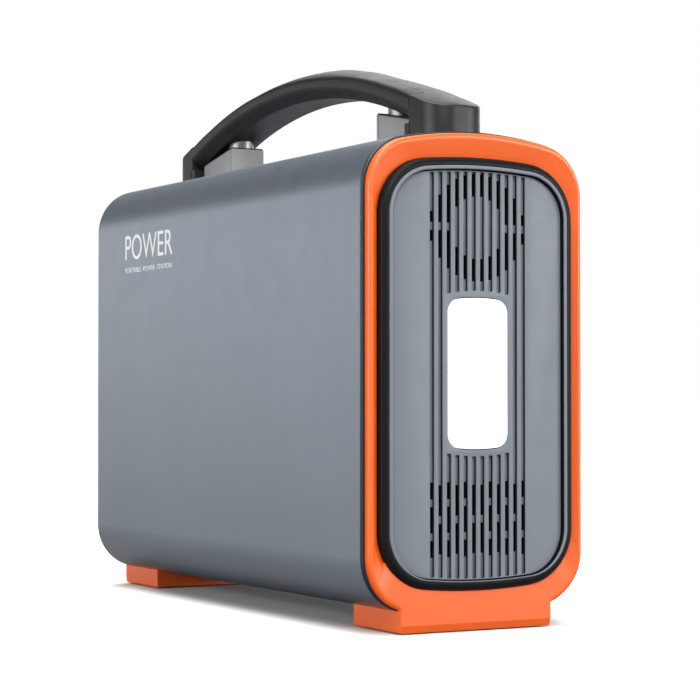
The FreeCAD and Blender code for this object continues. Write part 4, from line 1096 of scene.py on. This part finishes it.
def display():
    """Glass with a charge figure, two smaller figures, a row of bars and two rows of dashes."""
    centre, _, (back, front) = local("display_lens")
    bm = bmesh.new()
    add_slab(bm, around("display_lens", 0, 1.1), [], back, front, 0.25 * MM)
    turn_front(bm, "display_glass_plate", stands_for=["display_lens"], slot="display_glass")
    bm = bmesh.new()
    for i, digit in enumerate("100"):
        add_digit(bm, digit, moved(centre, 6.6 - 6.6 * i, 0), 5.0, 9.5, front)
    for side, digits in ((1, "05"), (-1, "60")):
        for i, digit in enumerate(digits):
            add_digit(bm, digit, moved(centre, side * 18.0 + 1.7 - 3.4 * i, -3), 2.6, 4.8, front)
    turn_front(bm, "display_figures", slot="display_panel", ink="cyan_segments")
    bm = bmesh.new()
    bars, dash = 20, 2.2
    marks = [((0.8, 1.5), (i - (bars - 1) / 2) * 1.15, -9.0) for i in range(bars)]
    marks += [((dash, 0.7), side * 18.0 + k * dash * 1.15, 5.0) for side in (-1, 1) for k in (-1, 0, 1)]
    for size, x, z in marks:
        add_prism(bm, box_mm(*size, 0.2, 2, moved(centre, x, z)), front, front + FIGURE_RELIEF)
    turn_front(bm, "display_bars", slot="display_panel", ink="green_segments")


def keys():
    """Push keys with dished faces and a raised sign on each."""
    wide, tall, radius, soft, dish = 14.0 * MM, 9.0 * MM, 1.1 * MM, 0.6 * MM, 0.25 * MM
    flange, flange_out, relief = FRONT_FACE - 4.7 * MM, 1.2 * MM, 0.12 * MM
    flange_top = flange + 1.1 * MM
    for key in KEYS:
        centre, _, (_, front) = local(f"{key}_button")

        def outline(out, y):
            return at_depth(box_outline(wide + 2 * out, tall + 2 * out, radius, 6, centre), y)

        steps = ((flange_out, flange), (flange_out, flange_top), (0, flange_top))
        loops = [outline(out, y) for out, y in steps]
        loops += [outline(-inset, y) for inset, y in quarter((soft, front - soft), soft, 180, 90, 4)]
        bm = bmesh.new()
        add_domed(bm, loops, centre, (0.85, 0.6, 0.3), -dish)
        name = f"{key}_key"
        turn_front(bm, f"{name}_cap", body=name, stands_for=[f"{key}_button"], slot="key_plastic")
        sign = bmesh.new()
        level = front - dish * 0.9
        if key == "lamp":
            rings = [shifted(round_outline(r * MM), centre) for r in (1.3, 0.8)]
            add_slab(sign, rings[0], rings[1:], level, level + relief, 0.02 * MM)
            for k in range(8):
                turn = pi / 4 * k
                corners = [in_mm(place) for place in ((1.8, 0.2), (2.6, 0.2), (2.6, -0.2), (1.8, -0.2))]
                spoke = [(x * cos(turn) - z * sin(turn), x * sin(turn) + z * cos(turn))
                         for x, z in corners]
                add_prism(sign, shifted(spoke, centre), level, level + relief)
        else:
            add_words(sign, key.upper(), (5.4, 3.0, 0.12), upright(centre[0], level + 0.06 * MM, centre[1]))
        turn_front(sign, f"{name}_sign", body=name, slot="key_plastic", ink="white_ink")


def panel_labels():
    """Small printed words beside the fittings: text, x, z and width in mm."""
    words = (
        ("USB-A", 9.5, 102.3, 9.0), ("USB-C", -19.0, 102.3, 9.0), ("12 V", -3.5, 62.0, 6.0),
        ("DC OUT", -17.0, 74.5, 9.0), ("AC OUT", 8.5, 23.6, 9.0), ("DC IN", -22.5, 31.6, 7.0),
    )
    bm = bmesh.new()
    for text, x, z, wide in words:
        add_words(bm, text, (wide, 1.9, 0.06), upright(x * MM, FRONT_FACE + 0.02 * MM, z * MM))
    turn_front(bm, "panel_words", slot="grey_plastic", ink="white_ink")


def usb_sockets():
    """Metal shells with a turned-out lip, and the tongues inside."""
    bm, tongues = bmesh.new(), bmesh.new()
    for centre in map(in_mm, USB_A):
        for outer, back, front, edge in (((13.1, 5.7), -14, -0.4, 0.1), ((13.3, 5.9), -0.9, -0.3, 0.2)):
            hollow = box_mm(12.3, 4.9, 0.5, centre=centre)
            add_panel_slab(bm, box_mm(*outer, 0.5, centre=centre), [hollow], back, front, edge)
        add_prism(bm, box_mm(12.6, 5.2, 0.5, centre=centre), FRONT_FACE - 14 * MM, FRONT_FACE - 13 * MM)
        add_panel_slab(tongues, box_mm(11.1, 1.8, 0.3, centre=moved(centre, 0, 1.1)), [], -13.5, -3.0, 0.15)
        for k in range(4):
            contact = box_mm(1.1, 0.2, 0.05, 2, moved(centre, (k - 1.5) * 2.4, 0.15))
            add_prism(bm, contact, FRONT_FACE - 10 * MM, FRONT_FACE - 4 * MM)
    turn_front(bm, "usb_a_shells", stands_for=["usb_a_sockets"], slot="steel")
    turn_front(tongues, "usb_a_tongues", slot="steel", ink="blue_tongue")
    centre = local("usb_c_socket")[0]
    bm = bmesh.new()
    ring, hollow = box_mm(9.1, 3.4, 1.69, 8, centre), box_mm(8.3, 2.6, 1.29, 8, centre)
    add_panel_slab(bm, ring, [hollow], -11, -0.3, 0.12)
    add_prism(bm, box_mm(8.6, 2.9, 1.4, 8, centre), FRONT_FACE - 11 * MM, FRONT_FACE - 10 * MM)
    add_panel_slab(bm, box_mm(6.7, 0.7, 0.2, centre=centre), [], -10.5, -2.0, 0.1)
    turn_front(bm, "usb_c_shell", stands_for=["usb_c_socket"], slot="steel")


def round_sockets():
    """Car socket and barrel jacks, turned."""

    def add_round(bm, profile, place, steps):
        add_turned(bm, profile, (place[0], 0, place[1]), (0, 1, 0), steps)

    centre, half, (back, front) = local("car_socket")
    flange, barrel, bore, contact = half[0], 13.0 * MM, 10.48 * MM, 2.6 * MM
    floor_level, rebate = front - 37.3 * MM, front - 0.3 * MM
    profile = [(contact, back), (barrel, back), (barrel, FRONT_FACE), (flange, FRONT_FACE)]
    profile += [(flange - 0.5 * MM + r, y) for r, y in quarter((0, front - 0.6 * MM), 0.5 * MM, 0, 90, 4)]
    profile += [(bore + 1.6 * MM, front), (bore + 1.4 * MM, rebate), (bore + 0.3 * MM, rebate)]
    profile += [(bore, front - 0.7 * MM), (bore, floor_level), (contact, floor_level), (contact, back)]
    bm = bmesh.new()
    add_round(bm, profile, centre, 96)
    turn_front(bm, "car_socket_turned", stands_for=["car_socket"], slot="black_plastic")
    # Radii of flange, barrel and bore, depth of the bore, how far back the barrel goes; then the pin's
    # radius and length.
    outputs = [(place, (6.0, 4.4, 2.85, 10.0, 110.0, 1.0, 9.5)) for place in map(in_mm, DC_OUTPUTS)]
    jacks = outputs + [(local("dc_input_jack")[0], (8.0, 6.0, 4.0, 12.0, 106.0, 0.8, 11.5))]
    top, tip = FRONT_FACE + 1.0 * MM, FRONT_FACE - 0.6 * MM
    bodies, pins = bmesh.new(), bmesh.new()
    for place, sizes in jacks:
        flange, barrel, bore, depth, rear, pin, length = (value * MM for value in sizes)
        profile = [(0, rear), (barrel, rear), (barrel, FRONT_FACE), (flange, FRONT_FACE)]
        profile += [(flange, top - 0.3 * MM), (flange - 0.3 * MM, top), (bore + 0.5 * MM, top)]
        profile += [(bore, top - 0.5 * MM), (bore, top - depth), (0, top - depth)]
        add_round(bodies, profile, place, 64)
        profile = [(0, tip - length), (pin, tip - length), (pin, tip - 0.4 * MM), (pin * 0.6, tip), (0, tip)]
        add_round(pins, profile, place, 32)
    turn_front(bodies, "jack_bodies", stands_for=["dc_output_jacks", "dc_input_jack"], slot="black_plastic")
    turn_front(pins, "jack_pins", slot="nickel")


def mains_outlet():
    """Outlet plate with a sunk face, two blade slots and an earth hole."""
    centre, _, (back, front) = local("ac_outlet")
    well, box = around("ac_outlet", -5, 2.2, 8), box_mm(34, 28, 1, centre=centre)
    cuts = [box_mm(2.2, 7.8 + side * 0.8, 0.3, centre=moved(centre, side * 6.35, 3.5)) for side in (-1, 1)]
    cuts.append(round_outline(2.5 * MM, 40, moved(centre, 0, -8.4)))
    bm = bmesh.new()
    add_slab(bm, around("ac_outlet", 0, 2.5, 8), [well], FRONT_FACE - 2.7 * MM, front, 0.5 * MM)
    add_slab(bm, well, cuts, FRONT_FACE - 2.7 * MM, front - 0.9 * MM, 0.12 * MM)
    add_panel_slab(bm, box, cuts, -19, -2.6, 0.05)
    add_slab(bm, box, [], back, FRONT_FACE - 19 * MM, 0.2 * MM)
    turn_front(bm, "outlet_plate", sharp=40, stands_for=["ac_outlet"], slot="black_plastic")


# ---------------- printed words on the side


def side_words():
    """Plain lettering on the left side, where such an object carries its name."""
    bm = bmesh.new()
    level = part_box("housing_sleeve")[1].x
    words = (("POWER", 49.5, 10.6, -64.2, 147.0), ("PORTABLE  POWER  STATION", 48.5, 2.1, -64.6, 137.3))
    for text, wide, tall, y, z in words:
        to_side = Matrix(((0, 0, 1, level), (1, 0, 0, y * MM), (0, 1, 0, z * MM), (0, 0, 0, 1)))
        add_words(bm, text, (wide, tall, 0.06), to_side)
    keep(bm, "side_words", slot="painted_aluminium", ink="white_ink")


# ---------------- build

sleeve()
for end_name, end_turn in ENDS:
    for build in (bezel, trim_ring, panel_rim, cap, bracket, post):
        build(end_name, end_turn)
for build in (grille, lens, fan_wheel, grip, foot_pads, foot_screws, front_face, display, keys,
              panel_labels, usb_sockets, round_sockets, mains_outlet, side_words):
    build()


# ---------------- stage


def aim(thing, direction):
    """Point a lamp or a camera along a direction."""
    thing.rotation_euler = direction.to_track_quat("-Z", "Y").to_euler()


def light(kind, name, power, direction, **settings):
    data = bpy.data.lights.new(name, kind)
    data.energy = power
    for setting, value in settings.items():
        setattr(data, setting, value)
    lamp = add_object(name, data)
    aim(lamp, direction)
    return lamp


def by_ray(tree, others, camera_ray, output):
    """Give an output one shader for the camera's own rays and another for all others."""
    path = tree.nodes.new("ShaderNodeLightPath")
    mix = tree.nodes.new("ShaderNodeMixShader")
    tree.links.new(path.outputs["Is Camera Ray"], mix.inputs["Fac"])
    tree.links.new(others, mix.inputs[1])
    tree.links.new(camera_ray, mix.inputs[2])
    tree.links.new(mix.outputs["Shader"], tree.nodes[output].inputs["Surface"])


def world():
    """White backdrop; all but the camera see a dim room, bright below the horizon and overhead."""
    made = bpy.data.worlds.new("studio")
    made.use_nodes = True
    nodes, links = made.node_tree.nodes, made.node_tree.links
    room = put(nodes["Background"], Strength=1.32)
    backdrop = put(nodes.new("ShaderNodeBackground"), Color=(1, 1, 1, 1))
    place = nodes.new("ShaderNodeTexCoord")
    split = nodes.new("ShaderNodeSeparateXYZ")
    links.new(place.outputs["Generated"], split.inputs[0])
    ramp = nodes.new("ShaderNodeValToRGB")
    elements = ramp.color_ramp.elements
    # Height of a direction, as the sine of its angle above the horizon, and the room's shade there.
    bands = ((0.0, 0.92), (0.10, 0.86), (0.25, 0.09), (0.62, 0.08), (0.76, 0.06), (0.88, 0.40), (1.0, 0.40))
    elements[0].position, elements[1].position = bands[0][0], bands[-1][0]
    for position, _ in bands[1:-1]:
        elements.new(position)
    for stop, (_, shade) in zip(elements, bands):
        stop.color = (shade, shade, shade, 1)
    links.new(split.outputs["Z"], ramp.inputs["Fac"])
    links.new(ramp.outputs["Color"], room.inputs["Color"])
    by_ray(made.node_tree, room.outputs["Background"], backdrop.outputs["Background"], "World Output")
    bpy.context.scene.world = made


def floor():
    """Pale floor; the object sees it dimmer than the camera does: a darker copy of its material, painted
    shade on the floor's bounce and reflections.
    """
    mesh = bpy.data.meshes.new("floor")
    reach = 40.0
    corners = [(-reach, -reach, 0), (reach, -reach, 0), (reach, reach, 0), (-reach, reach, 0)]
    mesh.from_pydata(corners, [], [(0, 1, 2, 3)])
    plane = add_object("floor", mesh)
    surface = Surface("floor_white", 0.94, 0.8, Specular_IOR_Level=0.1)
    # Painted shade: all rays but the camera's see this darker copy of the floor.
    dim = surface.node("ShaderNodeBsdfDiffuse", Color=(0.20, 0.20, 0.20, 1))
    by_ray(surface.material.node_tree, dim.outputs["BSDF"], surface.shader.outputs["BSDF"], "Material Output")
    mesh.materials.append(surface.material)


def camera():
    """Low and level, a little behind the object's left."""
    data = bpy.data.cameras.new("camera")
    data.sensor_width = 36.0
    data.lens = 111.3
    view = add_object("camera", data)
    yaw, pitch = radians(28.80), radians(-1.256)
    view.location = (0.41015, 0.77446, 0.0828)
    aim(view, Vector((-sin(yaw) * cos(pitch), -cos(yaw) * cos(pitch), -sin(pitch))))
    bpy.context.scene.camera = view


world()
floor()
camera()
light("SUN", "overhead", 3.1, Vector((-0.05, 0.1, -1.0)), angle=radians(50))
# Soft boxes: place, height of the point they face, width, height and power.
for name, place, aim_height, wide, tall, power in (
        ("rear_box", (0.6, 1.6, 1.5), 0.1, 1.2, 1.0, 30),
        ("right_box", (-1.3, 1.5, 0.5), 0.1, 0.9, 0.7, 18),
        ("side_box", (1.7, 0.1, 0.45), 0.1, 1.2, 0.6, 13),
        ("back_box", (-1.0, -1.4, 1.15), 0.15, 1.0, 0.6, 4.5),
        ("front_box", (-1.7, -1.2, 0.8), 0.15, 1.0, 0.6, 7)):
    towards = Vector((0, 0, aim_height)) - Vector(place)
    light("AREA", name, power, towards, shape="RECTANGLE", size=wide, size_y=tall).location = place
bpy.context.scene.view_settings.view_transform = "Standard"
